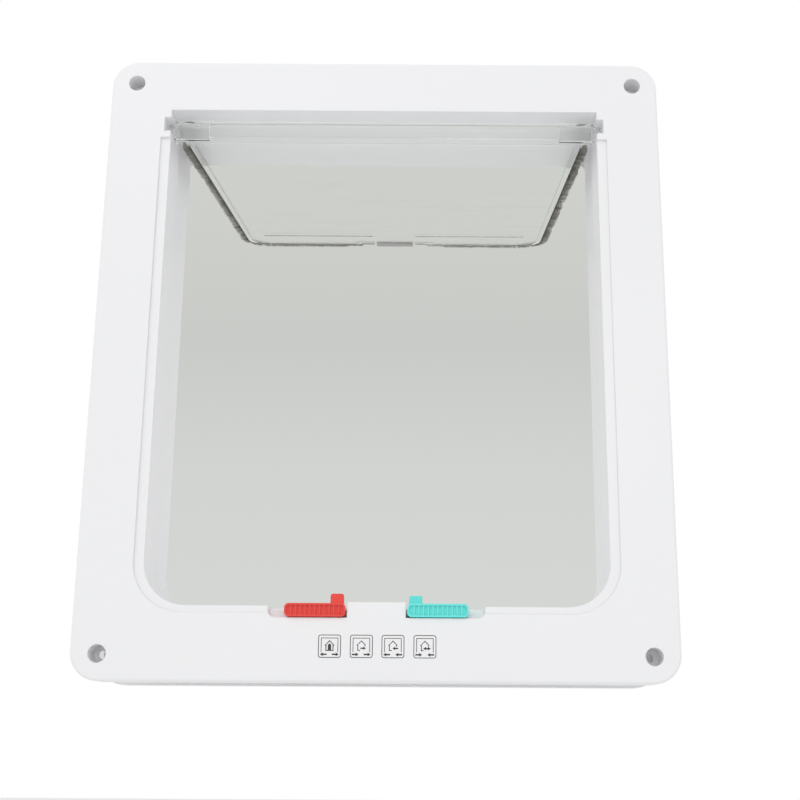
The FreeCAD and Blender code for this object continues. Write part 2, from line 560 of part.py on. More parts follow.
def backing_corners():
    """The band that the pile's backing fills along one half of the flap's edge."""
    deep = "Sizes.pile_backing"
    side = EDGE_W
    low = "-" + EDGE_L
    notch = "-" + NOTCH_L
    corners = [(side, "-Sizes.pile_start"), (side, low, "Sizes.flap_corner"), ("Sizes.notch_half", low),
               ("Sizes.notch_half", notch), (PILE_END, notch), (PILE_END, "(%s + %s)" % (notch, deep)),
               ("(Sizes.notch_half + %s)" % deep, "(%s + %s)" % (notch, deep)),
               ("(Sizes.notch_half + %s)" % deep, "(%s + %s)" % (low, deep)),
               ("(%s - %s)" % (side, deep), "(%s + %s)" % (low, deep), "(Sizes.flap_corner - %s)" % deep),
               ("(%s - %s)" % (side, deep), "-Sizes.pile_start")]
    return corners


def hang_on_hinge(body):
    """Moves a piece of the flap to the hinge axis and swings it open."""
    body.Placement = FreeCAD.Placement(FreeCAD.Vector(0, 0, 0),
                                       FreeCAD.Rotation(FreeCAD.Vector(1, 0, 0), size("Sizes.open_angle")))
    body.setExpression("Placement.Rotation.Angle", "Sizes.open_angle")
    body.setExpression("Placement.Base.y", HINGE_Y)
    body.setExpression("Placement.Base.z", HINGE_Z)


def flap_panel():
    """Clear panel with its round rail, raised rim and the groove of the pile strips."""
    body = new_body("flap_panel")
    sketch = new_sketch(body, "rim_sketch", "XZ_Plane", RIM_FRONT)
    outline(sketch, flap_corners("0", "-1.5"))
    extrude(body, "Pad", "rim", sketch, "Sizes.rim_thickness", True)

    recess = "(Sizes.rim_thickness - Sizes.panel_thickness) / 2"
    window_top = "-(Sizes.rail_size / 2 + Sizes.rim_width / 2)"
    for name, lift, turned in (("front_window", RIM_FRONT, False), ("back_window", "-" + RIM_BACK, True)):
        sketch = new_sketch(body, name + "_sketch", "XZ_Plane", lift)
        outline(sketch, flap_corners("Sizes.rim_width", window_top))
        extrude(body, "Pocket", name, sketch, recess, turned)

    band_low = "(-%s + Sizes.rim_width - 0.3)" % NOTCH_L
    band_high = "(-%s + Sizes.rim_width + Sizes.band_height)" % NOTCH_L
    sketch = new_sketch(body, "bands_sketch", "XZ_Plane", RIM_FRONT)
    for sign in ("", "-"):
        outline(sketch, on_side(sign, [(PILE_END, band_low), ("Sizes.band_half", band_low),
                                       ("Sizes.band_half", band_high), (PILE_END, band_high)]))
    extrude(body, "Pad", "bands", sketch, recess + " + 0.3", True)

    tongue_high = "(-%s + Sizes.holder_grip + Sizes.holder_fit)" % NOTCH_L
    side = "(Sizes.holder_half + Sizes.holder_fit)"
    cut = "(Sizes.rim_thickness - Sizes.tongue_of_flap) / 2 + 1"
    for name, lift, turned in (("front_tongue", RIM_FRONT + " + 1", False),
                               ("back_tongue", "-%s - 1" % RIM_BACK, True)):
        sketch = new_sketch(body, name + "_sketch", "XZ_Plane", lift)
        box_outline(sketch, "-" + side, side, "(-%s - 1)" % NOTCH_L, tongue_high)
        extrude(body, "Pocket", name, sketch, cut, turned)

    sketch = new_sketch(body, "rail_sketch", "YZ_Plane", "-" + RAIL_END)
    ring(sketch, "0", "0", "Sizes.rail_size")
    extrude(body, "Pad", "rail", sketch, "2 * " + RAIL_END)
    for name, lift, turned in (("right_bore", RAIL_END, False), ("left_bore", "-" + RAIL_END, True)):
        sketch = new_sketch(body, name + "_sketch", "YZ_Plane", lift)
        ring(sketch, "0", "0", "Sizes.pin_size + 2 * Sizes.pin_fit")
        extrude(body, "Pocket", name, sketch, "Sizes.pin_in_rail + Sizes.pin_fit", turned)

    for name, sign in (("right_groove", ""), ("left_groove", "-")):
        sketch = new_sketch(body, name + "_sketch", "XZ_Plane", RIM_FRONT + " + 1")
        outline(sketch, on_side(sign, backing_corners()))
        extrude(body, "Pocket", name, sketch, "Sizes.rim_thickness + 2")
    hang_on_hinge(body)
    return body


def hinge_pin(name, sign):
    """A pin turned in one piece: rounded inner end, shank, collar and the end that turns in the slot."""
    body = new_body(name)
    sketch = new_sketch(body, name + "_sketch", "XZ_Plane")
    inner = "(%s - Sizes.pin_in_rail)" % RAIL_END
    radius = "Sizes.pin_size / 2"
    collar = "Sizes.pin_collar_size / 2"
    collar_start = "(%s + 0.1)" % RAIL_END
    collar_end = "(%s + 0.1 + Sizes.pin_collar)" % RAIL_END
    profile = [(inner, "0"), (PIN_END, "0"), (PIN_END, radius), (collar_end, radius), (collar_end, collar),
               (collar_start, collar), (collar_start, radius),
               (inner, radius, "Sizes.pin_end_round")]
    outline(sketch, on_side(sign, profile))
    turned = body.newObject("PartDesign::Revolution", name + "_turned")
    turned.Profile = sketch
    turned.ReferenceAxis = (sketch, ["H_Axis"])
    turned.Angle = 360.0
    hang_on_hinge(body)
    return body


def pile_strip(name, sign):
    """Woven backing in the flap's groove, and the pile on it along the side and half the lower edge."""
    body = new_body(name)
    sketch = new_sketch(body, name + "_backing_sketch", "XZ_Plane", RIM_FRONT)
    outline(sketch, on_side(sign, backing_corners()))
    extrude(body, "Pad", name + "_backing", sketch, "Sizes.rim_thickness", True)

    sink = "0.2"
    side = "(%s - %s)" % (EDGE_W, sink)
    tips = "(%s + Sizes.pile_height)" % EDGE_W
    low = "(-%s + %s)" % (EDGE_L, sink)
    low_tips = "(-%s - Sizes.pile_height_below)" % EDGE_L
    corners = [(tips, "-Sizes.pile_start"), (tips, low_tips, "Sizes.pile_corner"),
               ("Sizes.notch_half", low_tips), ("Sizes.notch_half", low),
               (side, low, "(Sizes.flap_corner - %s)" % sink), (side, "-Sizes.pile_start")]
    sketch = new_sketch(body, name + "_pile_sketch", "XZ_Plane", PILE_FRONT)
    outline(sketch, on_side(sign, corners))
    extrude(body, "Pad", name + "_pile", sketch, "Sizes.pile_thickness", True)

    notch = "(-%s + %s)" % (NOTCH_L, sink)
    notch_tips = "(-%s - Sizes.pile_height_in_notch)" % NOTCH_L
    sketch = new_sketch(body, name + "_notch_pile_sketch", "XZ_Plane", PILE_FRONT)
    corners = [(PILE_END, notch_tips), ("Sizes.notch_half", notch_tips), ("Sizes.notch_half", notch),
               (PILE_END, notch)]
    outline(sketch, on_side(sign, corners))
    extrude(body, "Pad", name + "_notch_pile", sketch, "Sizes.pile_thickness", True)
    hang_on_hinge(body)
    return body


def magnet_holder():
    """Clip over the flap's lower rim, with the pocket of its magnet below."""
    body = new_body("magnet_holder")
    front = "(-Sizes.panel_offset - Sizes.holder_thickness / 2)"
    back = "(Sizes.holder_thickness / 2 - Sizes.panel_offset)"
    grip_top = "(-%s + Sizes.holder_grip)" % NOTCH_L
    sketch = new_sketch(body, "holder_sketch", "YZ_Plane", "-Sizes.holder_half")
    outline(sketch, [(front, "-" + HOLDER_L, "0.5"), (back, "-" + HOLDER_L, "0.5"),
                     (back, grip_top), (front, grip_top)])
    extrude(body, "Pad", "holder", sketch, "2 * Sizes.holder_half")

    slot = "(Sizes.tongue_of_flap / 2 + Sizes.holder_fit)"
    sketch = new_sketch(body, "holder_slot_sketch", "YZ_Plane", "-Sizes.holder_half - 1")
    box_outline(sketch, "(-Sizes.panel_offset - %s)" % slot, "(%s - Sizes.panel_offset)" % slot,
                "(-%s - Sizes.holder_fit)" % NOTCH_L, grip_top + " + 1")
    extrude(body, "Pocket", "holder_slot", sketch, "2 * Sizes.holder_half + 2", True)

    half = "(Sizes.flap_magnet_thickness / 2 + Sizes.magnet_fit)"
    floor = "(-%s + Sizes.holder_wall)" % HOLDER_L
    sketch = new_sketch(body, "holder_pocket_sketch", "YZ_Plane", "-Sizes.magnet_half - Sizes.magnet_fit")
    box_outline(sketch, "(-Sizes.panel_offset - %s)" % half, "(%s - Sizes.panel_offset)" % half,
                floor, "(-%s)" % NOTCH_L)
    extrude(body, "Pocket", "holder_pocket", sketch, "2 * Sizes.magnet_half + 2 * Sizes.magnet_fit", True)
    hang_on_hinge(body)
    return body


def bar_magnet(name, middle, low):
    """A plain bar magnet about a depth and standing on a height, with the sizes of its own name."""
    body = new_body(name)
    sketch = new_sketch(body, name + "_sketch", "YZ_Plane", "-Sizes.magnet_half")
    half = "(Sizes.%s_thickness / 2)" % name
    box_outline(sketch, "(%s - %s)" % (middle, half), "(%s + %s)" % (middle, half), low,
                "(%s + Sizes.%s_height)" % (low, name))
    extrude(body, "Pad", name + "_bar", sketch, "2 * Sizes.magnet_half")
    return body


def flap_magnet():
    """Magnet in the holder on the flap."""
    low = "(-%s + Sizes.holder_wall + Sizes.magnet_fit)" % HOLDER_L
    body = bar_magnet("flap_magnet", "-Sizes.panel_offset", low)
    hang_on_hinge(body)
    return body


def sill_magnet():
    """Magnet under the cover in the sill, in line with the hanging flap."""
    low = "(-Sizes.opening_bottom + Sizes.cover_rise - Sizes.cover_wall - Sizes.magnet_fit" \
          " - Sizes.sill_magnet_height)"
    return bar_magnet("sill_magnet", PANEL_Y, low)


def sill_magnet_cover():
    """White block between the locks that holds the sill's magnet from above."""
    body = new_body("sill_magnet_cover")
    front = "(Sizes.plate_depth - Sizes.cover_front - Sizes.cover_fit)"
    sketch = new_sketch(body, "cover_sketch", "XZ_Plane", front)
    top = "(-Sizes.opening_bottom + Sizes.cover_rise)"
    box_outline(sketch, "-Sizes.cover_half", "Sizes.cover_half", RECESS_Z, top)
    cover = extrude(body, "Pad", "cover", sketch, front + " + Sizes.block_past_door_face", True)
    top_z = size(top)
    soften(body, "cover_edge", cover, "0.3", lambda edge: lies_at(edge, 2, top_z))

    pocket_low = "(%s - 0.1)" % RECESS_Z
    pocket_high = "(%s - Sizes.cover_wall)" % top
    half = "(Sizes.magnet_half + Sizes.magnet_fit)"
    sketch = new_sketch(body, "cover_pocket_sketch", "XZ_Plane",
                        "-%s + Sizes.sill_magnet_thickness / 2 + Sizes.magnet_fit" % PANEL_Y)
    box_outline(sketch, "-" + half, half, pocket_low, pocket_high)
    extrude(body, "Pocket", "cover_pocket", sketch, "Sizes.sill_magnet_thickness + 2 * Sizes.magnet_fit")
    return body


def lock(name, sign, behind):
    """A sliding lock: ribbed grip, tongue below, and a tab in front of the flap or on an arm behind it."""
    body = new_body(name)
    start = LOCK_START
    end = "(%s + Sizes.lock_length)" % LOCK_START
    low = "(%s + Sizes.lock_play)" % RECESS_Z
    high = "(-Sizes.opening_bottom + Sizes.lock_rise)"
    tab_end = "(%s + Sizes.tab_width)" % TAB_START
    tab_top = "(-Sizes.opening_bottom + Sizes.tab_rise)"
    depth = "(Sizes.lock_proud + Sizes.recess_depth - Sizes.lock_play)"
    front = "(Sizes.plate_depth + Sizes.lock_proud)"

    sketch = new_sketch(body, name + "_grip_sketch", "XZ_Plane", front)
    round_end = "Sizes.lock_corner"
    outline(sketch, on_side(sign, [(start, low, round_end), (end, low, round_end),
                              (end, high, round_end), (start, high, round_end)]))
    extrude(body, "Pad", name + "_grip", sketch, depth, True)

    sketch = new_sketch(body, name + "_well_sketch", "XZ_Plane", front)
    inside = "Sizes.lock_corner - Sizes.lock_rim"
    outline(sketch, on_side(sign, [(start + " + Sizes.lock_rim", low + " + Sizes.lock_rim", inside),
                              (end + " - Sizes.lock_rim", low + " + Sizes.lock_rim", inside),
                              (end + " - Sizes.lock_rim", high + " - Sizes.lock_rim", inside),
                              (start + " + Sizes.lock_rim", high + " - Sizes.lock_rim", inside)]))
    extrude(body, "Pocket", name + "_well", sketch, "Sizes.lock_grip_depth")

    pitch = "((Sizes.lock_length - 2 * Sizes.lock_rim) / (Sizes.lock_ribs + 1))"
    rib_low = low + " + Sizes.lock_rim - 0.2"
    rib_high = high + " - Sizes.lock_rim + 0.2"
    sketch = new_sketch(body, name + "_ribs_sketch", "XZ_Plane", front + " - Sizes.lock_grip_depth - 0.2")
    for step in range(1, int(size("Sizes.lock_ribs")) + 1):
        middle = "(%s + Sizes.lock_rim + %d * %s)" % (start, step, pitch)
        left = "(%s - Sizes.lock_rib_wall / 2)" % middle
        right = "(%s + Sizes.lock_rib_wall / 2)" % middle
        rib = [(left, rib_low), (right, rib_low), (right, rib_high), (left, rib_high)]
        outline(sketch, on_side(sign, rib))
    extrude(body, "Pad", name + "_ribs", sketch, "Sizes.lock_grip_depth")

    rim_half = "Sizes.rim_thickness / 2 + Sizes.tab_flap_gap"
    sketch = new_sketch(body, name + "_step_sketch", "XZ_Plane", "-%s + %s" % (PANEL_Y, rim_half))
    step = SILL + " - Sizes.arm_below_sill"
    outline(sketch, on_side(sign, [(start + " - 1", step), (end + " + 1", step),
                                   (end + " + 1", high + " + 1"), (start + " - 1", high + " + 1")]))
    extrude(body, "Pocket", name + "_step", sketch, "Sizes.recess_depth")

    tongue_lift = front + " - Sizes.lock_proud - Sizes.recess_depth / 2 + Sizes.tongue_thickness / 2"
    sketch = new_sketch(body, name + "_tongue_sketch", "XZ_Plane", tongue_lift)
    outline(sketch, on_side(sign, [(start + " + Sizes.tongue_end", "(%s - Sizes.tongue_height)" % RECESS_Z),
                              (end + " - Sizes.tongue_end", "(%s - Sizes.tongue_height)" % RECESS_Z),
                              (end + " - Sizes.tongue_end", low + " + 0.5"),
                              (start + " + Sizes.tongue_end", low + " + 0.5")]))
    extrude(body, "Pad", name + "_tongue", sketch, "Sizes.tongue_thickness", True)

    tab = [(TAB_START, high + " - 0.6"), (tab_end, high + " - 0.6"), (tab_end, tab_top, "Sizes.tab_corner"),
           (TAB_START, tab_top, "Sizes.tab_corner")]
    if not behind:
        sketch = new_sketch(body, name + "_tab_sketch", "XZ_Plane", front + " - Sizes.lock_rim / 2")
        outline(sketch, on_side(sign, tab))
        extrude(body, "Pad", name + "_tab", sketch,
                "Sizes.lock_proud - Sizes.lock_rim / 2 + Sizes.hinge_behind_face - Sizes.panel_offset"
                " - (%s)" % rim_half, True)
        return body

    arm_top = "(-Sizes.opening_bottom - Sizes.arm_below_sill)"
    arm_low = "(%s - Sizes.arm_height)" % arm_top
    sketch = new_sketch(body, name + "_arm_sketch", "XZ_Plane", "Sizes.plate_depth - Sizes.recess_depth + 1")
    arm = [(TAB_START, arm_low), (tab_end, arm_low), (tab_end, arm_top), (TAB_START, arm_top)]
    outline(sketch, on_side(sign, arm))
    extrude(body, "Pad", name + "_arm", sketch,
            "1 - Sizes.recess_depth + Sizes.hinge_behind_face - Sizes.panel_offset + %s"
            " + Sizes.rear_tab_thickness" % rim_half, True)
    sketch = new_sketch(body, name + "_tab_sketch", "XZ_Plane", "-%s - (%s)" % (PANEL_Y, rim_half))
    tab[0] = (TAB_START, arm_low)
    tab[1] = (tab_end, arm_low)
    outline(sketch, on_side(sign, tab))
    extrude(body, "Pad", name + "_tab", sketch, "Sizes.rear_tab_thickness", True)
    return body


PIECES = (
    front_frame(),
    rear_frame(),
    flap_panel(),
    hinge_pin("hinge_pin_left", "-"),
    hinge_pin("hinge_pin_right", ""),
    pile_strip("pile_strip_left", "-"),
    pile_strip("pile_strip_right", ""),
    magnet_holder(),
    flap_magnet(),
    sill_magnet(),
    sill_magnet_cover(),
    lock("red_lock", "-", False),
    lock("green_lock", "", True),
)
doc.recompute()

failed = [item.Name for item in doc.Objects if {"Invalid", "Error"} & set(item.State)]
if failed:
    raise RuntimeError("these objects failed: " + ", ".join(failed))
for piece in PIECES:
    if piece.Shape.isNull() or not piece.Shape.isValid() or len(piece.Shape.Solids) != 1:
        raise RuntimeError(piece.Label + " isn't one sound solid")

os.makedirs("parts", exist_ok=True)
for piece in PIECES:
    piece.Shape.exportStep("parts/%s.step" % piece.Label)
    print("%-20s %9.1f mm3 %5d faces" % (piece.Label, piece.Shape.Volume, len(piece.Shape.Faces)))
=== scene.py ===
"""Looks of the cat flap: white moulded plates, a clear flap edged with bristle pile, and two coloured locks.

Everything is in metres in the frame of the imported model. Sizes in the classes are millimetres, and a
mesh is turned into metres when it is put into its object.
"""
import logging
import math
from dataclasses import dataclass, field
from enum import Enum
from typing import Optional, Sequence

import bpy
import numpy as np
from mathutils import Matrix


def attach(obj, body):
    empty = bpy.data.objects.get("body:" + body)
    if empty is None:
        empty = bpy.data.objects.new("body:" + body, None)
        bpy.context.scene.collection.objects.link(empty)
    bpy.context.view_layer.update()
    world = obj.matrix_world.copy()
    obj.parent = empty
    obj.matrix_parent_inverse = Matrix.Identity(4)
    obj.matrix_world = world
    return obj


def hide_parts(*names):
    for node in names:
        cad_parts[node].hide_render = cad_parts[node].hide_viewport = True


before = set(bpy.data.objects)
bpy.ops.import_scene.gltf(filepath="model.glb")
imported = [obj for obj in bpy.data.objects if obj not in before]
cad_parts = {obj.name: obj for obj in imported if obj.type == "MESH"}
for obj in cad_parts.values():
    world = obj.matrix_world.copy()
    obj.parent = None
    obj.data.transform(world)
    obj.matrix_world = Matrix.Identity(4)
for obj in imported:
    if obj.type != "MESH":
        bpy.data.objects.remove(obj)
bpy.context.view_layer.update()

MM = 0.001
LOG = logging.getLogger("cat_flap")


class Body(Enum):
    """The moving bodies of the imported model."""

    FRAME = "frame"
    FLAP = "flap"
    RED = "red_slider"
    GREEN = "green_slider"


class Side(Enum):
    """Left or right half of the flap, seen from the room."""

    LEFT = -1
    RIGHT = 1


class Arrow(Enum):
    """Which way an arrow of a mark points."""

    LEFT = "left"
    RIGHT = "right"
    BOTH = "both"


# Mesh and node helpers


def new_piece(name: str, points: np.ndarray, faces: Sequence[np.ndarray],
              smooth: bool = True) -> bpy.types.Object:
    """Puts computed points and faces into a new object at the origin.

    Args:
        name: name of the piece.
        points: (n, 3) places in millimetres.
        faces: arrays of point numbers, one array for each face size.
        smooth: whether the faces shade smoothly.

    Returns:
        The linked object.
    """
    mesh = bpy.data.meshes.new(name)
    rows = [row for block in faces for row in np.asarray(block).tolist()]
    mesh.vertices.add(len(points))
    mesh.vertices.foreach_set("co", (np.asarray(points, np.float64) * MM).astype(np.float32).ravel())
    sizes = np.array([len(row) for row in rows], np.int32)
    corners = np.concatenate([np.asarray(row, np.int32) for row in rows])
    mesh.loops.add(len(corners))
    mesh.loops.foreach_set("vertex_index", corners)
    mesh.polygons.add(len(rows))
    mesh.polygons.foreach_set("loop_start", np.concatenate([[0], np.cumsum(sizes)[:-1]]).astype(np.int32))
    mesh.polygons.foreach_set("use_smooth", np.full(len(rows), smooth))
    mesh.update(calc_edges=True)
    mesh.validate()
    piece = bpy.data.objects.new(name, mesh)
    bpy.context.scene.collection.objects.link(piece)
    return piece


def ring_faces(rows: int, columns: int) -> np.ndarray:
    """Quads between rings of points that are stored ring by ring; the last point joins the first.

    Args:
        rows: number of rings.
        columns: points of one ring.

    Returns:
        (n, 4) point numbers; each quad runs round one cell.
    """
    i, j = np.meshgrid(np.arange(rows - 1), np.arange(columns), indexing="ij")
    k = (j + 1) % columns
    here, there = i * columns, (i + 1) * columns
    return np.stack([here + j, here + k, there + k, there + j], -1).reshape(-1, 4)


class Nodes:
    """A small writer for one node tree."""

    def __init__(self, tree: bpy.types.NodeTree) -> None:
        """Keeps the tree that nodes are added to."""
        self.tree = tree

    def add(self, kind: str, values: Optional[dict] = None, **settings: object) -> bpy.types.Node:
        """Adds a node.

        Args:
            kind: Blender's node type.
            values: input name or number to a value, or to an output socket that is linked to it.
            settings: attributes of the node.

        Returns:
            The node.
        """
        node = self.tree.nodes.new(kind)
        for key, value in settings.items():
            setattr(node, key, value)
        for key, value in (values or {}).items():
            if isinstance(value, bpy.types.NodeSocket):
                self.tree.links.new(value, node.inputs[key])
            else:
                node.inputs[key].default_value = value
        return node

    def math(self, operation: str, first: object, second: object = 0.0,
             third: object = 0.0) -> bpy.types.NodeSocket:
        """The result of one sum on numbers or sockets."""
        return self.add("ShaderNodeMath", {0: first, 1: second, 2: third}, operation=operation).outputs[0]

    def mix(self, factor: object, first: object, second: object) -> bpy.types.NodeSocket:
        """A colour between two colours."""
        node = self.add("ShaderNodeMix", data_type="RGBA")
        for socket, value in ((node.inputs[0], factor), (node.inputs[6], first), (node.inputs[7], second)):
            if isinstance(value, bpy.types.NodeSocket):
                self.tree.links.new(value, socket)
            else:
                socket.default_value = value
        return node.outputs[2]

    def ramp(self, factor: bpy.types.NodeSocket, stops: Sequence[tuple]) -> bpy.types.NodeSocket:
        """A colour ramp through (position, colour) stops."""
        node = self.add("ShaderNodeValToRGB", {0: factor})
        ramp = node.color_ramp
        while len(ramp.elements) < len(stops):
            ramp.elements.new(0.5)
        for element, (place, colour) in zip(ramp.elements, stops):
            element.position = place
            element.color = colour
        return node.outputs[0]


def new_group(name: str, inputs: dict, outputs: Sequence[str]) -> tuple:
    """An empty shader group.

    Args:
        name: name of the group.
        inputs: input name to its default number.
        outputs: names of the outputs, all numbers.

    Returns:
        The group's tree, its writer, its input node and its output node.
    """
    tree = bpy.data.node_groups.new(name, "ShaderNodeTree")
    for label, value in inputs.items():
        socket = tree.interface.new_socket(name=label, in_out="INPUT", socket_type="NodeSocketFloat")
        socket.default_value = value
    for label in outputs:
        tree.interface.new_socket(name=label, in_out="OUTPUT", socket_type="NodeSocketFloat")
    writer = Nodes(tree)
    return tree, writer, writer.add("NodeGroupInput"), writer.add("NodeGroupOutput")


class Effects:
    """Shader groups that several finishes share, built once."""

    def __init__(self) -> None:
        """Builds both groups."""
        self.moulding = self.build_moulding()
        self.handling = self.build_handling()

    @staticmethod
    def build_moulding() -> bpy.types.NodeTree:
        """Surface of moulded plastic: slow waves of shrinkage, fine spark grain, and a slow change of shade.

        Returns:
            The group, with outputs Height and Shade.
        """
        tree, write, source, sink = new_group(
            "moulded_surface", {"Wave size": 60.0, "Grain size": 2500.0, "Grain": 0.3}, ("Height", "Shade"))
        place = write.add("ShaderNodeTexCoord").outputs["Object"]
        wave = write.add("ShaderNodeTexNoise",
                         {"Vector": place, "Scale": source.outputs["Wave size"], "Detail": 1.0})
        grain = write.add("ShaderNodeTexNoise",
                          {"Vector": place, "Scale": source.outputs["Grain size"], "Detail": 2.0})
        height = write.math("MULTIPLY_ADD", grain.outputs["Fac"], source.outputs["Grain"],
                            wave.outputs["Fac"])
        drift = write.add("ShaderNodeTexNoise", {"Vector": place, "Scale": 7.0, "Detail": 2.0})
        tree.links.new(height, sink.inputs["Height"])
        tree.links.new(drift.outputs["Fac"], sink.inputs["Shade"])
        return tree

    @staticmethod
    def build_handling() -> bpy.types.NodeTree:
        """Marks of handling: faint smudges, and hair scratches along one direction.

        Returns:
            The group, with outputs Smudge and Scratch.
        """
        tree, write, source, sink = new_group("handling_marks", {"Smudge size": 22.0, "Scratch size": 500.0},
                                              ("Smudge", "Scratch"))
        place = write.add("ShaderNodeTexCoord").outputs["Object"]
        smudge = write.add("ShaderNodeTexNoise", {"Vector": place, "Scale": source.outputs["Smudge size"],
                                                  "Detail": 4.0, "Distortion": 0.8})
        stretched = write.add("ShaderNodeMapping", {"Vector": place, "Scale": (0.03, 1.0, 1.0),
                                                    "Rotation": (0.3, 0.2, 0.5)})
        scratch = write.add("ShaderNodeTexNoise", {"Vector": stretched.outputs[0],
                                                   "Scale": source.outputs["Scratch size"], "Detail": 1.0})
        sharp = write.add("ShaderNodeMapRange",
                          {"Value": scratch.outputs["Fac"], "From Min": 0.62, "From Max": 0.75})
        tree.links.new(smudge.outputs["Fac"], sink.inputs["Smudge"])
        tree.links.new(sharp.outputs[0], sink.inputs["Scratch"])
        return tree


# Finishes


def new_material(name: str) -> tuple:
    """A material with only its output and a Principled shader, and the writer of its nodes."""
    material = bpy.data.materials.new(name)
    material.use_nodes = True
    material.node_tree.nodes.clear()
    write = Nodes(material.node_tree)
    shader = write.add("ShaderNodeBsdfPrincipled")
    write.add("ShaderNodeOutputMaterial", {"Surface": shader.outputs[0]})
    return material, write, shader


@dataclass(frozen=True)
class MouldedPlastic:
    """Opaque moulded plastic, half gloss, with rounded-looking edges and a slow change of shade."""

    name: str
    light: tuple
    dark: tuple
    roughness: float = 0.3
    edge_mm: float = 0.5
    waves: float = 0.02
    grain: float = 0.25

    def material(self, effects: Effects) -> bpy.types.Material:
        """Builds the material.

        Args:
            effects: the shared groups.

        Returns:
            The material.
        """
        material, write, shader = new_material(self.name)
        moulding = write.add("ShaderNodeGroup", node_tree=effects.moulding)
        moulding.inputs["Grain"].default_value = self.grain
        handling = write.add("ShaderNodeGroup", node_tree=effects.handling)
        colour = write.mix(moulding.outputs["Shade"], (*self.dark, 1.0), (*self.light, 1.0))
        rough = write.add("ShaderNodeMapRange",
                          {"Value": handling.outputs["Smudge"], "To Min": self.roughness - 0.05,
                           "To Max": self.roughness + 0.07})
        edge = write.add("ShaderNodeBevel", {"Radius": self.edge_mm * MM}, samples=6)
        bump = write.add("ShaderNodeBump", {"Strength": self.waves, "Distance": 0.001,
                                            "Height": moulding.outputs["Height"], "Normal": edge.outputs[0]})
        material.node_tree.links.new(colour, shader.inputs["Base Color"])
        material.node_tree.links.new(rough.outputs[0], shader.inputs["Roughness"])
        material.node_tree.links.new(bump.outputs[0], shader.inputs["Normal"])
        shader.inputs["IOR"].default_value = 1.46
        return material


@dataclass(frozen=True)
class ClearPlastic:
    """Clear moulded plastic with a faint haze, flow waves and hair scratches.

    Its refraction is fitted to the photograph and is lower than a plastic's. For shadow and diffuse rays
    it is mostly open, so that light reaches what lies behind it.
    """

    name: str
    tint: tuple
    roughness: float = 0.03
    waves: float = 0.03
    ior: float = 1.25
    lets_through: float = 0.9

    def material(self, effects: Effects) -> bpy.types.Material:
        """Builds the material.

        Args:
            effects: the shared groups.

        Returns:
            The material.
        """
        material, write, shader = new_material(self.name)
        moulding = write.add("ShaderNodeGroup", node_tree=effects.moulding)
        moulding.inputs["Grain"].default_value = 0.02
        handling = write.add("ShaderNodeGroup", node_tree=effects.handling)
        haze = write.math("MULTIPLY_ADD", handling.outputs["Smudge"], 0.04, self.roughness)
        rough = write.math("MULTIPLY_ADD", handling.outputs["Scratch"], 0.1, haze)
        bump = write.add("ShaderNodeBump", {"Strength": self.waves, "Distance": 0.001,
                                            "Height": moulding.outputs["Height"]})
        path = write.add("ShaderNodeLightPath")
        lit = write.math("MAXIMUM", path.outputs["Is Shadow Ray"], path.outputs["Is Diffuse Ray"])
        shows = write.math("MULTIPLY_ADD", lit, -self.lets_through, 1.0)
        material.node_tree.links.new(shows, shader.inputs["Alpha"])
        shader.inputs["Base Color"].default_value = (*self.tint, 1.0)
        shader.inputs["Transmission Weight"].default_value = 1.0
        shader.inputs["IOR"].default_value = self.ior
        material.node_tree.links.new(rough, shader.inputs["Roughness"])
        material.node_tree.links.new(bump.outputs[0], shader.inputs["Normal"])
        return material


@dataclass(frozen=True)
class PileFibre:
    """Nylon pile: each fibre has its own tone, stored on the mesh, with painted shade darkening it towards
    its root and painted light lightening its tip.
    """

    name: str
    # dark, middle and light stops of the fibre ramp; the dark end carries painted shade at the roots and the
    # light end painted light at the tips
    root: tuple = (0.1, 0.098, 0.088)
    middle: tuple = (0.5, 0.495, 0.45)
    tip: tuple = (0.8, 0.79, 0.74)

    def material(self, effects: Effects) -> bpy.types.Material:
        """Builds the material.

        Args:
            effects: the shared groups.

        Returns:
            The material.
        """
        material, write, shader = new_material(self.name)
        tone = write.add("ShaderNodeAttribute", attribute_name="tone", attribute_type="GEOMETRY")
        colour = write.ramp(tone.outputs["Fac"], ((0.0, (*self.root, 1.0)), (0.5, (*self.middle, 1.0)),
                                                  (1.0, (*self.tip, 1.0))))
        handling = write.add("ShaderNodeGroup", node_tree=effects.handling)
        rough = write.add("ShaderNodeMapRange",
                          {"Value": handling.outputs["Smudge"], "To Min": 0.45, "To Max": 0.6})
        material.node_tree.links.new(colour, shader.inputs["Base Color"])
        material.node_tree.links.new(rough.outputs[0], shader.inputs["Roughness"])
        shader.inputs["Sheen Weight"].default_value = 0.25
        return material


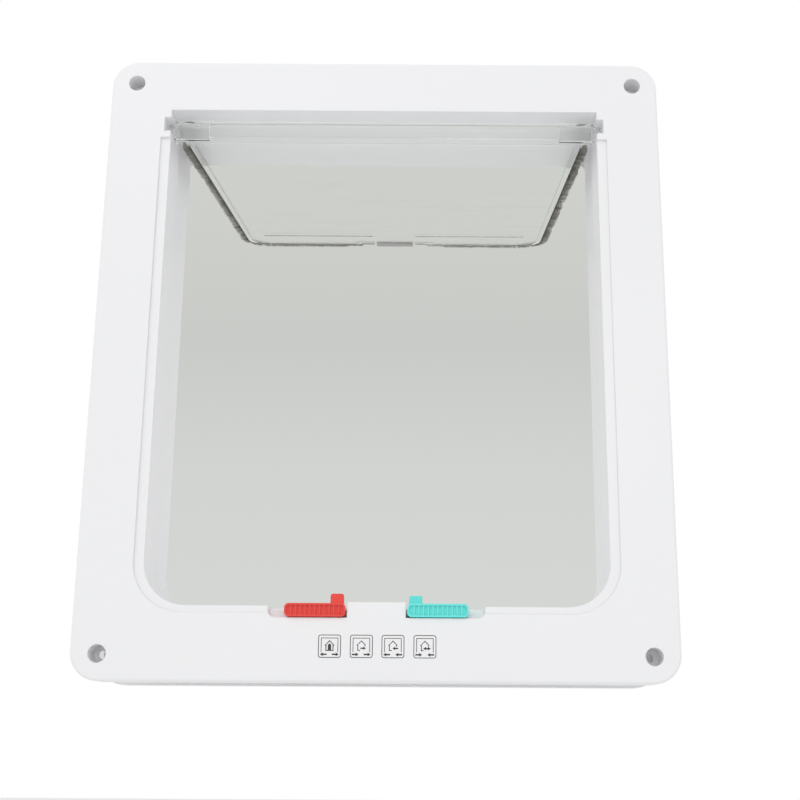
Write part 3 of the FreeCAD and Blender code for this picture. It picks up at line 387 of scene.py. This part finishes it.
@dataclass(frozen=True)
class WovenBacking:
    """Woven band of the pile: crossed threads as a checked height over its own map."""

    name: str
    thread: tuple = (0.3, 0.295, 0.27)
    gap: tuple = (0.12, 0.118, 0.108)

    def material(self, effects: Effects) -> bpy.types.Material:
        """Builds the material.

        Args:
            effects: the shared groups.

        Returns:
            The material.
        """
        material, write, shader = new_material(self.name)
        place = write.add("ShaderNodeUVMap", uv_map="length_and_round").outputs[0]
        warp = write.add("ShaderNodeTexWave", {"Vector": place, "Scale": 1.2, "Distortion": 0.4},
                         bands_direction="X")
        weft = write.add("ShaderNodeTexWave", {"Vector": place, "Scale": 1.2, "Distortion": 0.4},
                         bands_direction="Y")
        weave = write.math("MULTIPLY", warp.outputs["Fac"], weft.outputs["Fac"])
        colour = write.mix(weave, (*self.gap, 1.0), (*self.thread, 1.0))
        bump = write.add("ShaderNodeBump", {"Strength": 0.4, "Distance": 0.0001, "Height": weave})
        handling = write.add("ShaderNodeGroup", node_tree=effects.handling)
        rough = write.add("ShaderNodeMapRange",
                          {"Value": handling.outputs["Smudge"], "To Min": 0.75, "To Max": 0.9})
        material.node_tree.links.new(colour, shader.inputs["Base Color"])
        material.node_tree.links.new(rough.outputs[0], shader.inputs["Roughness"])
        material.node_tree.links.new(bump.outputs[0], shader.inputs["Normal"])
        return material


@dataclass(frozen=True)
class Ink:
    """Printed ink, a little uneven where it dried."""

    name: str
    thin: tuple = (0.06, 0.06, 0.065)
    full: tuple = (0.01, 0.01, 0.011)

    def material(self, effects: Effects) -> bpy.types.Material:
        """Builds the material.

        Args:
            effects: the shared groups.

        Returns:
            The material.
        """
        material, write, shader = new_material(self.name)
        handling = write.add("ShaderNodeGroup", node_tree=effects.handling)
        handling.inputs["Smudge size"].default_value = 900.0
        colour = write.mix(handling.outputs["Smudge"], (*self.full, 1.0), (*self.thin, 1.0))
        material.node_tree.links.new(colour, shader.inputs["Base Color"])
        shader.inputs["Roughness"].default_value = 0.5
        return material


WHITE = MouldedPlastic("white_plate_plastic", (0.915, 0.915, 0.93), (0.885, 0.885, 0.9))
GREY = MouldedPlastic("grey_clip_plastic", (0.4, 0.4, 0.385), (0.34, 0.34, 0.33), roughness=0.45,
                      edge_mm=0.25)
RED = MouldedPlastic("red_lock_plastic", (0.9, 0.075, 0.055), (0.8, 0.05, 0.04), roughness=0.16, edge_mm=0.3)
GREEN = MouldedPlastic("turquoise_lock_plastic", (0.19, 0.88, 0.84), (0.13, 0.81, 0.77), roughness=0.16,
                       edge_mm=0.3)
MAGNET = MouldedPlastic("dull_magnet", (0.13, 0.13, 0.14), (0.09, 0.09, 0.1), roughness=0.6,
                        edge_mm=0.2, grain=0.8)
CLEAR = ClearPlastic("clear_flap_plastic", (0.955, 0.965, 0.955))
CLEAR_PIN = ClearPlastic("clear_pin_plastic", (0.975, 0.98, 0.975), ior=1.12)
FIBRE = PileFibre("pile_fibre")
WOVEN = WovenBacking("pile_backing_weave")
INK = Ink("mark_ink")


# Pieces


@dataclass
class CadPieces:
    """CAD nodes whose shape is right, with the finish that each one gets."""

    finishes: dict = field(default_factory=lambda: {
        "front_frame": WHITE, "rear_frame": WHITE, "sill_magnet_cover": WHITE, "flap_panel": CLEAR,
        "hinge_pin_left": CLEAR_PIN, "hinge_pin_right": CLEAR_PIN, "magnet_holder": GREY,
        "flap_magnet": MAGNET, "sill_magnet": MAGNET, "red_lock": RED, "green_lock": GREEN})

    def dress(self, materials: dict) -> None:
        """Gives each node its material.

        Args:
            materials: finish name to material.
        """
        for node, finish in self.finishes.items():
            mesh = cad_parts[node].data
            mesh.materials.clear()
            mesh.materials.append(materials[finish.name])
            LOG.info("%s keeps its CAD shape in %s", node, finish.name)


@dataclass
class FlapPose:
    """How the hanging flap is turned about its hinge and placed."""

    open_angle: float = 99.6
    hinge_y: float = -4.5
    hinge_z: float = 108.4
    panel_offset: float = 3.0

    def placed(self, across: np.ndarray, out: np.ndarray, up: np.ndarray) -> np.ndarray:
        """Turns places of the hanging flap to where it stands open.

        A point (x, out, up) has its middle plane at out = 0. It is moved by the panel's offset, turned
        about the x axis by the open angle, y' = y cos a - z sin a and z' = y sin a + z cos a, and moved
        to the hinge.

        Args:
            across: x of the points.
            out: distance behind the panel's middle plane.
            up: height above the hinge axis, negative downwards.

        Returns:
            (n, 3) places in the frame.
        """
        a = math.radians(self.open_angle)
        y = out - self.panel_offset
        return np.stack([across, y * math.cos(a) - up * math.sin(a) + self.hinge_y,
                         y * math.sin(a) + up * math.cos(a) + self.hinge_z], -1)


@dataclass
class PileStrip:
    """Bristle pile along one side and half the lower edge of the flap, on its woven backing."""

    side: Side
    pose: FlapPose
    edge_across: float = 92.0
    edge_down: float = 213.3
    notch_down: float = 209.5
    notch_half: float = 20.8
    inner_end: float = 13.0
    start_down: float = 8.5
    corner: float = 14.4
    reach_side: float = 4.2
    reach_below: float = 2.8
    reach_notch: float = 2.4
    half_thickness: float = 1.2
    backing: float = 0.9
    fibres: int = 11500
    fibre_radius: float = 0.1
    tuft: float = 4.6
    tuft_lean: float = 0.22
    droop: float = 0.32
    droop_fade: float = 6.0
    lean_fade: float = 5.0
    fan: float = 0.55
    fan_fade: float = 2.2
    gather: float = 0.25
    most_lean: float = 1.1
    splay: float = 0.22
    length_share: tuple = (0.86, 0.99)
    shorter_top: float = 0.4
    top_fade: float = 2.5
    bow: float = 0.07
    most_bow: float = 1.1
    root_depth: float = 0.8
    # painted shade: how much darker fibres get towards the gaps between tufts
    painted_gap_shade: float = 0.4
    # painted shade: how much darker fibres along the lower edge are
    painted_edge_shade: float = 0.3
    tone_spread: float = 0.19
    # painted shade at the root and painted light at the tip, as factors of a fibre's tone
    painted_root_shade: float = 0.38
    painted_tip_light: float = 1.25
    # painted light: lifts the tones of every fibre of the strip
    painted_light_shift: float = 0.0
    seed: int = 1

    @property
    def word(self) -> str:
        """left or right."""
        return self.side.name.lower()

    def edge(self, run: np.ndarray) -> tuple:
        """Places and outward directions along the flap's edge, by the distance run from its upper end.

        The edge is a straight run down, a quarter circle, and a level run towards the middle.

        Args:
            run: distances along the edge.

        Returns:
            x, height, and the two parts of the outward direction.
        """
        straight = self.edge_down - self.corner - self.start_down
        bend = self.corner * math.pi / 2
        turn = np.clip((run - straight) / self.corner, 0.0, math.pi / 2)
        level = np.maximum(run - straight - bend, 0.0)
        x = self.edge_across - self.corner + self.corner * np.cos(turn) - level
        z = -np.minimum(run, straight) - self.start_down - self.corner * np.sin(turn)
        return x, z, np.cos(turn), -np.sin(turn)

    @property
    def length(self) -> float:
        """Length of the edge down to the notch."""
        straight = self.edge_down - self.corner - self.start_down
        return straight + self.corner * math.pi / 2 + self.edge_across - self.corner - self.notch_half

    def bristles(self) -> bpy.types.Object:
        """Single fibres: three-sided prisms that taper to a point, rooted in the backing, in tufts.

        Each fibre starts at a random place of the backing and runs along the outward direction. It leans
        towards the middle of its tuft, with the tuft's own lean, droops away from the hinge, bows a
        little, and ends at its own length. Along the lower edge it leans towards the flap's front, and
        at the strip's upper end it is shorter and leans up.

        Returns:
            The piece.
        """
        rng = np.random.default_rng(self.seed)
        notch_run = self.notch_half - self.inner_end
        share = notch_run / (self.length + notch_run)
        in_notch = rng.random(self.fibres) < share
        run = rng.random(self.fibres) * self.length
        x, z, nx, nz = self.edge(run)
        inner = self.inner_end + rng.random(self.fibres) * notch_run
        x = np.where(in_notch, inner, x)
        z = np.where(in_notch, -self.notch_down, z)
        nx = np.where(in_notch, 0.0, nx)
        nz = np.where(in_notch, -1.0, nz)
        reach = self.reach_side * nx ** 2 + self.reach_below * nz ** 2
        reach = np.where(in_notch, self.reach_notch, reach)
        below = nz ** 2 * np.clip((x - 27.0) / 6.0, 0.0, 1.0)

        tufts = int(self.length / self.tuft) + 2
        starts = np.cumsum(self.tuft * rng.uniform(0.6, 1.4, 2 * tufts))
        number = np.searchsorted(starts, run)
        middle_run = (starts[number] + np.concatenate([[0.0], starts])[number]) / 2
        from_middle = np.where(in_notch, 0.0, (run - middle_run) / self.tuft)
        own_lean = rng.normal(0.0, self.tuft_lean, len(starts) + 1)[number]
        own_tone = rng.normal(0.0, 0.1, len(starts) + 1)[number]

        out = rng.uniform(-1.0, 1.0, self.fibres)
        tangent_x, tangent_z = nz, -nx
        fan = np.exp(-run / self.fan_fade) * np.where(in_notch, 0.0, 1.0) * self.fan
        droop = self.droop * nx ** 2 * (1.0 - np.exp(-run / self.droop_fade))
        lean_along = rng.normal(0.0, 0.1, self.fibres)
        lean_along = lean_along + own_lean * (1.0 - np.exp(-run / self.lean_fade)) - self.gather * from_middle
        lean_along = np.clip(lean_along - fan + droop, -self.most_lean, self.most_lean)
        lean_out = np.clip(out * 0.1 + rng.normal(0.0, 0.06, self.fibres), -0.13, 0.11)
        lean_out = lean_out + (out - 1.0) * self.splay * below
        direction = np.stack([nx + tangent_x * lean_along, lean_out, nz + tangent_z * lean_along], -1)
        direction /= np.linalg.norm(direction, axis=1)[:, None]
        short = 1.0 - self.shorter_top * np.exp(-run / self.top_fade) * ~in_notch
        length = reach * rng.uniform(*self.length_share, self.fibres) * short
        base = np.stack([x, out * self.half_thickness * 0.8, z], -1) - direction * self.root_depth
        sideways = np.clip(rng.normal(0.0, 1.0, (self.fibres, 3)), -self.most_bow, self.most_bow)
        bow = np.cross(direction, sideways) * (self.bow * length)[:, None]
        middle = base + direction * (self.root_depth + 0.5 * length)[:, None] + bow
        tip = base + direction * (self.root_depth + length)[:, None]

        side_a = np.cross(direction, np.array([0.3, 0.5, 0.81]))
        side_a /= np.linalg.norm(side_a, axis=1)[:, None]
        side_b = np.cross(direction, side_a)
        angles = np.arange(3) * 2 * math.pi / 3
        cosine, sine = np.cos(angles)[None, :, None], np.sin(angles)[None, :, None]
        around = side_a[:, None] * cosine + side_b[:, None] * sine
        ring_low = base[:, None] + around * self.fibre_radius
        ring_mid = middle[:, None] + around * self.fibre_radius * 0.85
        points = np.concatenate([ring_low, ring_mid, tip[:, None]], 1).reshape(-1, 3)
        first = np.arange(self.fibres)[:, None] * 7
        pairs = [(k, (k + 1) % 3) for k in range(3)]
        quads = np.concatenate([first + np.array([[a, b, b + 3, a + 3]]) for a, b in pairs])
        points_up = np.concatenate([first + np.array([[a + 3, b + 3, 6]]) for a, b in pairs])
        feet = first + np.array([[2, 1, 0]])
        mirrored = self.side is Side.LEFT
        blocks = [block[:, ::-1] if mirrored else block for block in (quads, points_up, feet)]
        placed = self.pose.placed(points[:, 0] * self.side.value, points[:, 1], points[:, 2])
        piece = new_piece("%s_pile_bristles" % self.word, placed, blocks)
        # painted shade: fibres are darker towards the gaps between tufts
        painted_fibre_shade = np.where(in_notch, 0.0, -self.painted_gap_shade * np.abs(from_middle) ** 2)
        # painted shade: fibres along the lower edge are darker
        painted_fibre_shade = painted_fibre_shade - self.painted_edge_shade * nz ** 2
        own = rng.normal(0.5 + self.painted_light_shift, self.tone_spread, self.fibres) + own_tone + painted_fibre_shade
        own = np.clip(own, 0.04, 0.95)
        # painted shade at the roots and painted light at the tips of each fibre
        root, tip_end = own * self.painted_root_shade, np.clip(own * self.painted_tip_light, 0, 1)
        tone = np.stack([root] * 3 + [own] * 3 + [tip_end], -1).ravel()
        attribute = piece.data.attributes.new("tone", "FLOAT", "POINT")
        attribute.data.foreach_set("value", tone.astype(np.float32))
        return piece

    def band(self) -> bpy.types.Object:
        """Backing in the flap's groove with the dense roots of the pile on it, as one swept profile.

        The profile is a closed polygon in (outward, across) that is carried along the edge; its outward
        part is measured from the edge and shrinks with the pile's reach.

        Returns:
            The piece, with a map of (length, way round) in half millimetres.
        """
        runs = np.linspace(0.02, self.length - 0.02, 260)
        x, z, nx, nz = self.edge(runs)
        reach = (self.reach_side * nx ** 2 + self.reach_below * nz ** 2) * 0.2
        thick = self.half_thickness
        back = np.array([-self.backing + 0.03, -self.backing + 0.03, -0.55, -0.55])
        back_out = np.array([-1.2, 1.2, 1.2, thick * 0.55])
        rise = np.array([1.0, 1.0])
        rise_out = np.array([thick * 0.35, -thick * 0.35])
        low = np.array([-0.55, -0.55])
        low_out = np.array([-thick * 0.55, -1.2])
        along = np.concatenate([np.tile(back, (len(runs), 1)), reach[:, None] * rise[None],
                                np.tile(low, (len(runs), 1))], 1)
        across = np.tile(np.concatenate([back_out, rise_out, low_out]), (len(runs), 1))
        px = x[:, None] + nx[:, None] * along
        pz = z[:, None] + nz[:, None] * along
        points = self.pose.placed(px.ravel() * self.side.value, across.ravel(), pz.ravel())
        columns = along.shape[1]
        faces = ring_faces(len(runs), columns)
        ends = [np.arange(columns)[None, ::-1], (np.arange(columns) + (len(runs) - 1) * columns)[None]]
        blocks = [faces, *ends]
        if self.side is Side.LEFT:
            blocks = [block[:, ::-1] for block in blocks]
        piece = new_piece("%s_pile_backing" % self.word, points, blocks, smooth=False)
        uv = piece.data.uv_layers.new(name="length_and_round")
        corners = np.zeros(len(piece.data.loops), np.int32)
        piece.data.loops.foreach_get("vertex_index", corners)
        places = np.stack([runs[corners // columns] * 2.0, (corners % columns) * 1.5], -1)
        uv.data.foreach_set("uv", places.astype(np.float32).ravel())
        return piece

    def build(self, materials: dict) -> list:
        """Builds both meshes and puts them in the place of the CAD strip.

        Args:
            materials: finish name to material.

        Returns:
            The pieces.
        """
        bristles = self.bristles()
        band = self.band()
        bristles.data.materials.append(materials[FIBRE.name])
        band.data.materials.append(materials[WOVEN.name])
        for piece in (bristles, band):
            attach(piece, Body.FLAP.value)
        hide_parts("pile_strip_%s" % self.word)
        return [bristles, band]


@dataclass
class PositionMarks:
    """Four printed marks below the locks: a house and arrows that show which ways the flap is free."""

    centres: tuple = (-18.9, -5.9, 7.0, 20.05)
    height: float = -125.5
    face_y: float = -12.0
    half: float = 4.5
    corner: float = 0.9
    line: float = 0.3
    ink_thickness: float = 0.02
    slides: tuple = ((Arrow.LEFT, Arrow.RIGHT), (Arrow.RIGHT, Arrow.RIGHT), (Arrow.LEFT, Arrow.LEFT),
                     (Arrow.RIGHT, Arrow.LEFT))
    ways: tuple = (None, Arrow.RIGHT, Arrow.LEFT, Arrow.BOTH)

    @staticmethod
    def stroke(points: np.ndarray, width: float, closed: bool) -> tuple:
        """A line of even width through points.

        Each point is moved both ways along the mitre of its two neighbours' normals, by half the width
        divided by the cosine of the half angle.

        Args:
            points: (n, 2) corners.
            width: width of the line.
            closed: whether the last point joins the first.

        Returns:
            Points and quads.
        """
        before = np.roll(points, 1, 0)
        after = np.roll(points, -1, 0)
        into = points - before
        away = after - points
        if not closed:
            into[0] = away[0]
            away[-1] = into[-1]
        into /= np.linalg.norm(into, axis=1)[:, None]
        away /= np.linalg.norm(away, axis=1)[:, None]
        mitre = np.stack([-(into + away)[:, 1], (into + away)[:, 0]], -1)
        mitre /= np.linalg.norm(mitre, axis=1)[:, None]
        normal = np.stack([-away[:, 1], away[:, 0]], -1)
        mitre *= (width / 2 / np.maximum((mitre * normal).sum(1), 0.5))[:, None]
        pairs = np.stack([points + mitre, points - mitre], 1).reshape(-1, 2)
        count = len(points)
        i = np.arange(count if closed else count - 1)
        k = (i + 1) % count
        return pairs, np.stack([2 * i, 2 * i + 1, 2 * k + 1, 2 * k], -1)

    @staticmethod
    def rounded_square(half: float, radius: float) -> np.ndarray:
        """Corners of a square with rounded corners, each corner an arc of seven points."""
        turn = np.linspace(0.0, math.pi / 2, 7)
        arcs = []
        for quarter in range(4):
            angle = turn + quarter * math.pi / 2
            sx = 1 if quarter in (0, 3) else -1
            sz = 1 if quarter in (0, 1) else -1
            arcs.append(np.stack([sx * (half - radius) + radius * np.cos(angle),
                                  sz * (half - radius) + radius * np.sin(angle)], -1))
        return np.concatenate(arcs)

    @staticmethod
    def arrow(left: float, right: float, z: float, way: Arrow, scale: float = 1.0) -> list:
        """Filled arrow from left to right at a height, as convex shapes."""
        head, wing, shaft = 1.2 * scale, 0.78 * scale, 0.3 * scale
        shapes = []
        start = left + head if way in (Arrow.LEFT, Arrow.BOTH) else left
        stop = right - head if way in (Arrow.RIGHT, Arrow.BOTH) else right
        low, high = z - shaft, z + shaft
        shapes.append(np.array([[start, low], [stop, low], [stop, high], [start, high]]))
        if way in (Arrow.LEFT, Arrow.BOTH):
            shapes.append(np.array([[left, z], [start, z - wing], [start, z + wing]]))
        if way in (Arrow.RIGHT, Arrow.BOTH):
            shapes.append(np.array([[right, z], [stop, z + wing], [stop, z - wing]]))
        return shapes

    def one_mark(self, index: int) -> tuple:
        """Lines and filled shapes of one mark about its own middle."""
        lines = [(self.rounded_square(self.half, self.corner), self.line, True)]
        frame_line = np.array([[-3.4, -2.3], [-3.4, 3.3], [3.4, 3.3], [3.4, -2.3]])
        lines.append((frame_line, self.line * 0.9, False))
        fills = []
        if self.ways[index] is None:
            house = np.array([[0.0, 2.2], [-1.75, 0.45], [-1.45, 0.45], [-1.45, -1.7], [1.45, -1.7],
                              [1.45, 0.45], [1.75, 0.45]])
            lines.append((house, self.line * 1.3, True))
            arch = np.linspace(0.0, math.pi, 9)
            body = np.stack([0.68 * np.cos(arch), 0.35 + 0.68 * np.sin(arch)], -1)
            fills.append(np.concatenate([[[-0.68, -1.55], [0.68, -1.55]], body]))
        else:
            house = np.array([[1.75, 0.45], [0.0, 2.2], [-1.75, 0.45], [-1.45, 0.45], [-1.45, -1.6],
                              [-0.5, -1.6]])
            lines.append((house, self.line * 1.1, False))
            lines.append((np.array([[1.45, 0.5], [1.45, 0.0]]), self.line * 1.1, False))
            if self.ways[index] is Arrow.BOTH:
                fills += self.arrow(-0.7, 2.4, -0.75, Arrow.BOTH, 0.95)
            elif self.ways[index] is Arrow.RIGHT:
                fills += self.arrow(-0.4, 1.9, -0.75, Arrow.RIGHT, 0.9)
            else:
                fills += self.arrow(-0.2, 2.1, -0.75, Arrow.LEFT, 0.9)
        left_way, right_way = self.slides[index]
        fills += self.arrow(-3.9, -1.1, -3.25, left_way)
        fills += self.arrow(1.0, 3.8, -3.25, right_way)
        return lines, fills

    def build(self, materials: dict) -> bpy.types.Object:
        """Builds the print as one flat mesh just proud of the face.

        Args:
            materials: finish name to material.

        Returns:
            The piece.
        """
        points, blocks, count = [], [], 0
        for index, middle in enumerate(self.centres):
            lines, fills = self.one_mark(index)
            shapes = [self.stroke(*line) for line in lines]
            shapes += [(shape, np.arange(len(shape))[None]) for shape in fills]
            for flat, faces in shapes:
                placed = np.stack([flat[:, 0] + middle, np.full(len(flat), self.face_y - self.ink_thickness),
                                   flat[:, 1] + self.height], -1)
                area = np.roll(flat[faces[0]], -1, 0)
                turn = (flat[faces[0], 0] * area[:, 1] - flat[faces[0], 1] * area[:, 0]).sum()
                points.append(placed)
                blocks.append((faces if turn > 0 else faces[:, ::-1]) + count)
                count += len(flat)
        piece = new_piece("position_marks", np.concatenate(points), blocks, smooth=False)
        piece.data.materials.append(materials[INK.name])
        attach(piece, Body.FRAME.value)
        return piece


# Studio


@dataclass
class Studio:
    """Floor, a grey card that glows with painted shade behind the opening, lamps and world."""

    floor_z: float = -700.0
    floor_half: float = 9000.0
    card_y: float = 1200.0
    card_in_plate: tuple = (-112.0, 112.0, -127.0, 128.0)
    world_level: float = 0.82
    # painted shade: level of the world seen through clear plastic
    painted_shade_through_level: float = 0.66
    key_watts: float = 7.8
    spark_watts: float = 0.9
    key_place: tuple = (-0.7, -1.5, 1.7)
    spark_place: tuple = (0.12, -1.35, 0.28)
    # painted shade: grey tones of the glowing card from its bottom to its top, darkest across the middle
    painted_shade_tones: tuple = ((0.0, (0.665, 0.68, 0.66, 1.0)), (0.3, (0.64, 0.655, 0.635, 1.0)),
                         (0.52, (0.585, 0.595, 0.575, 1.0)), (0.75, (0.615, 0.625, 0.595, 1.0)),
                         (1.0, (0.64, 0.645, 0.62, 1.0)))

    def build_world(self) -> None:
        """A plain pale world: white for the camera and for mirrors, and painted greyer, as painted shade,
        where it is seen through clear plastic.
        """
        world = bpy.data.worlds.new("pale_studio")
        world.use_nodes = True
        world.node_tree.nodes.clear()
        write = Nodes(world.node_tree)
        path = write.add("ShaderNodeLightPath")
        seen = write.math("MAXIMUM", path.outputs["Is Camera Ray"], path.outputs["Is Glossy Ray"])
        level = write.add("ShaderNodeMapRange", {"Value": seen, "To Min": self.world_level, "To Max": 1.0})
        # painted shade: rays through clear plastic see a dimmer world
        through = write.add("ShaderNodeMapRange", {"Value": path.outputs["Is Transmission Ray"],
                                                   "To Min": level.outputs[0], "To Max": self.painted_shade_through_level})
        light = write.add("ShaderNodeBackground",
                          {"Color": (1.0, 1.0, 1.0, 1.0), "Strength": through.outputs[0]})
        write.add("ShaderNodeOutputWorld", {"Surface": light.outputs[0]})
        bpy.context.scene.world = world

    def build_floor(self) -> None:
        """A wide pale floor that keeps the object's shadow."""
        h, z = self.floor_half, self.floor_z
        points = np.array([[-h, -h, z], [h, -h, z], [h, h, z], [-h, h, z]])
        floor = new_piece("studio_floor", points, [np.array([[0, 1, 2, 3]])], smooth=False)
        material, write, shader = new_material("pale_floor")
        path = write.add("ShaderNodeLightPath")
        colour = write.mix(path.outputs["Is Camera Ray"], (0.92, 0.925, 0.92, 1.0), (0.98, 0.98, 0.98, 1.0))
        material.node_tree.links.new(colour, shader.inputs["Base Color"])
        shader.inputs["Roughness"].default_value = 0.9
        floor.data.materials.append(material)

    def build_glowing_shade_card(self, eye: np.ndarray, face_y: float) -> None:
        """A grey card far behind the opening, as large as the plate hides from the camera; it glows with
        painted shade, standing for the shaded surface seen through the opening.

        Its corners are the plate's inner rectangle carried out from the camera by the ratio of the
        distances.

        Args:
            eye: the camera's place in millimetres.
            face_y: the plate's visible face.
        """
        left, right, low, high = self.card_in_plate
        ratio = (self.card_y - eye[1]) / (face_y - eye[1])
        flat = np.array([[left, low], [right, low], [right, high], [left, high]])
        xs = eye[0] + (flat[:, 0] - eye[0]) * ratio
        zs = eye[2] + (flat[:, 1] - eye[2]) * ratio
        points = np.stack([xs, np.full(4, self.card_y), zs], -1)
        card = new_piece("painted_shade_card", points, [np.array([[0, 1, 2, 3]])], smooth=False)
        material = bpy.data.materials.new("glowing_shade_card_material")
        material.use_nodes = True
        material.node_tree.nodes.clear()
        write = Nodes(material.node_tree)
        place = write.add("ShaderNodeSeparateXYZ", {0: write.add("ShaderNodeTexCoord").outputs["Object"]})
        rise = write.add("ShaderNodeMapRange", {"Value": place.outputs["Z"], "From Min": zs.min() * MM,
                                                "From Max": zs.max() * MM})
        # painted shade: the card glows in these greys, darker across its middle, in place of a shaded surface
        colour = write.ramp(rise.outputs[0], self.painted_shade_tones)
        painted_glow = write.add("ShaderNodeEmission", {"Color": colour, "Strength": 1.0})
        clear = write.add("ShaderNodeBsdfTransparent")
        back = write.add("ShaderNodeNewGeometry").outputs["Backfacing"]
        both = write.add("ShaderNodeMixShader", {0: back, 1: painted_glow.outputs[0], 2: clear.outputs[0]})
        write.add("ShaderNodeOutputMaterial", {"Surface": both.outputs[0]})
        card.data.materials.append(material)

    def add_lamp(self, name: str, place: tuple, target: tuple, width: float, watts: float) -> None:
        """A square lamp that faces a target.

        Args:
            name: name of the lamp.
            place: where it stands, in metres.
            target: where it points.
            width: side of its square, in metres.
            watts: its power.
        """
        data = bpy.data.lights.new(name, "AREA")
        data.shape = "SQUARE"
        data.size = width
        data.energy = watts
        lamp = bpy.data.objects.new(name, data)
        lamp.location = place
        away = np.array(place) - np.array(target)
        away /= np.linalg.norm(away)
        right = np.cross((0.0, 0.0, 1.0), away)
        right /= np.linalg.norm(right)
        up = np.cross(away, right)
        turn = Matrix.Identity(4)
        for axis, column in enumerate((right, up, away)):
            for row in range(3):
                turn[row][axis] = column[row]
        lamp.rotation_mode = "QUATERNION"
        lamp.rotation_quaternion = turn.to_quaternion()
        bpy.context.scene.collection.objects.link(lamp)

    def build(self, eye: np.ndarray, face_y: float) -> None:
        """Sets up the whole studio for the camera's place."""
        self.build_world()
        self.build_floor()
        self.build_glowing_shade_card(eye, face_y)
        self.add_lamp("key_lamp", self.key_place, (0.0, 0.0, 0.0), 1.6, self.key_watts)
        self.add_lamp("spark_lamp", self.spark_place, (0.0, 0.0, 0.0), 0.2, self.spark_watts)
        bpy.context.scene.view_settings.view_transform = "Standard"


@dataclass(frozen=True)
class PhotoCamera:
    """The photograph's camera: turned about x, y and z of a frame with x right, y down and z away."""

    turn_x: float = -14.226
    turn_y: float = -0.002
    turn_z: float = 0.358
    shift_mm: tuple = (-18.818, -29.060, 523.766)
    focal_px: float = 1207.487
    middle_px: tuple = (423.762, 419.655)
    image_px: float = 800.0
    sensor_mm: float = 36.0
    face_y: float = -12.0

    def rotation(self) -> np.ndarray:
        """Rotation from the plate's frame to the camera's: about z, after x, after y."""
        ax, ay, az = np.radians((self.turn_x, self.turn_y, self.turn_z))
        rx = np.array([[1, 0, 0], [0, np.cos(ax), -np.sin(ax)], [0, np.sin(ax), np.cos(ax)]])
        ry = np.array([[np.cos(ay), 0, np.sin(ay)], [0, 1, 0], [-np.sin(ay), 0, np.cos(ay)]])
        rz = np.array([[np.cos(az), -np.sin(az), 0], [np.sin(az), np.cos(az), 0], [0, 0, 1]])
        return rz @ rx @ ry

    def eye(self) -> np.ndarray:
        """The camera's place in the object's frame, in millimetres."""
        place = -self.rotation().T @ np.array(self.shift_mm)
        return np.array([place[0], place[2] + self.face_y, -place[1]])

    def build(self) -> bpy.types.Object:
        """Builds the camera and makes it the scene's own.

        Returns:
            The camera.
        """
        data = bpy.data.cameras.new("photo_camera")
        data.sensor_width = self.sensor_mm
        data.lens = self.focal_px * self.sensor_mm / self.image_px
        data.shift_x = (self.image_px / 2 - self.middle_px[0]) / self.image_px
        data.shift_y = (self.middle_px[1] - self.image_px / 2) / self.image_px
        data.clip_start = 0.01
        data.clip_end = 50.0
        camera = bpy.data.objects.new("photo_camera", data)
        rows = self.rotation()
        axes = np.stack([rows[:, 0], rows[:, 2], -rows[:, 1]], 1)
        columns = (axes[0], -axes[1], -axes[2], self.eye() * MM)
        matrix = Matrix.Identity(4)
        for axis, column in enumerate(columns):
            for row in range(3):
                matrix[row][axis] = float(column[row])
        camera.matrix_world = matrix
        bpy.context.scene.collection.objects.link(camera)
        bpy.context.scene.camera = camera
        return camera


def main() -> None:
    """Builds the studio and every piece in order."""
    logging.basicConfig(level=logging.INFO, format="%(name)s: %(message)s")
    camera = PhotoCamera()
    camera.build()
    Studio().build(camera.eye(), camera.face_y)
    effects = Effects()
    finishes = (WHITE, GREY, RED, GREEN, MAGNET, CLEAR, CLEAR_PIN, FIBRE, WOVEN, INK)
    materials = {finish.name: finish.material(effects) for finish in finishes}
    CadPieces().dress(materials)
    pose = FlapPose()
    # painted light: the left strip's fibres are made lighter than the right strip's
    for strip in (PileStrip(Side.LEFT, pose, painted_light_shift=0.12, seed=3), PileStrip(Side.RIGHT, pose, seed=8)):
        for piece in strip.build(materials):
            LOG.info("%s: %d faces", piece.name, len(piece.data.polygons))
    marks = PositionMarks().build(materials)
    LOG.info("%s: %d faces", marks.name, len(marks.data.polygons))


if __name__ == "__main__":
    main()
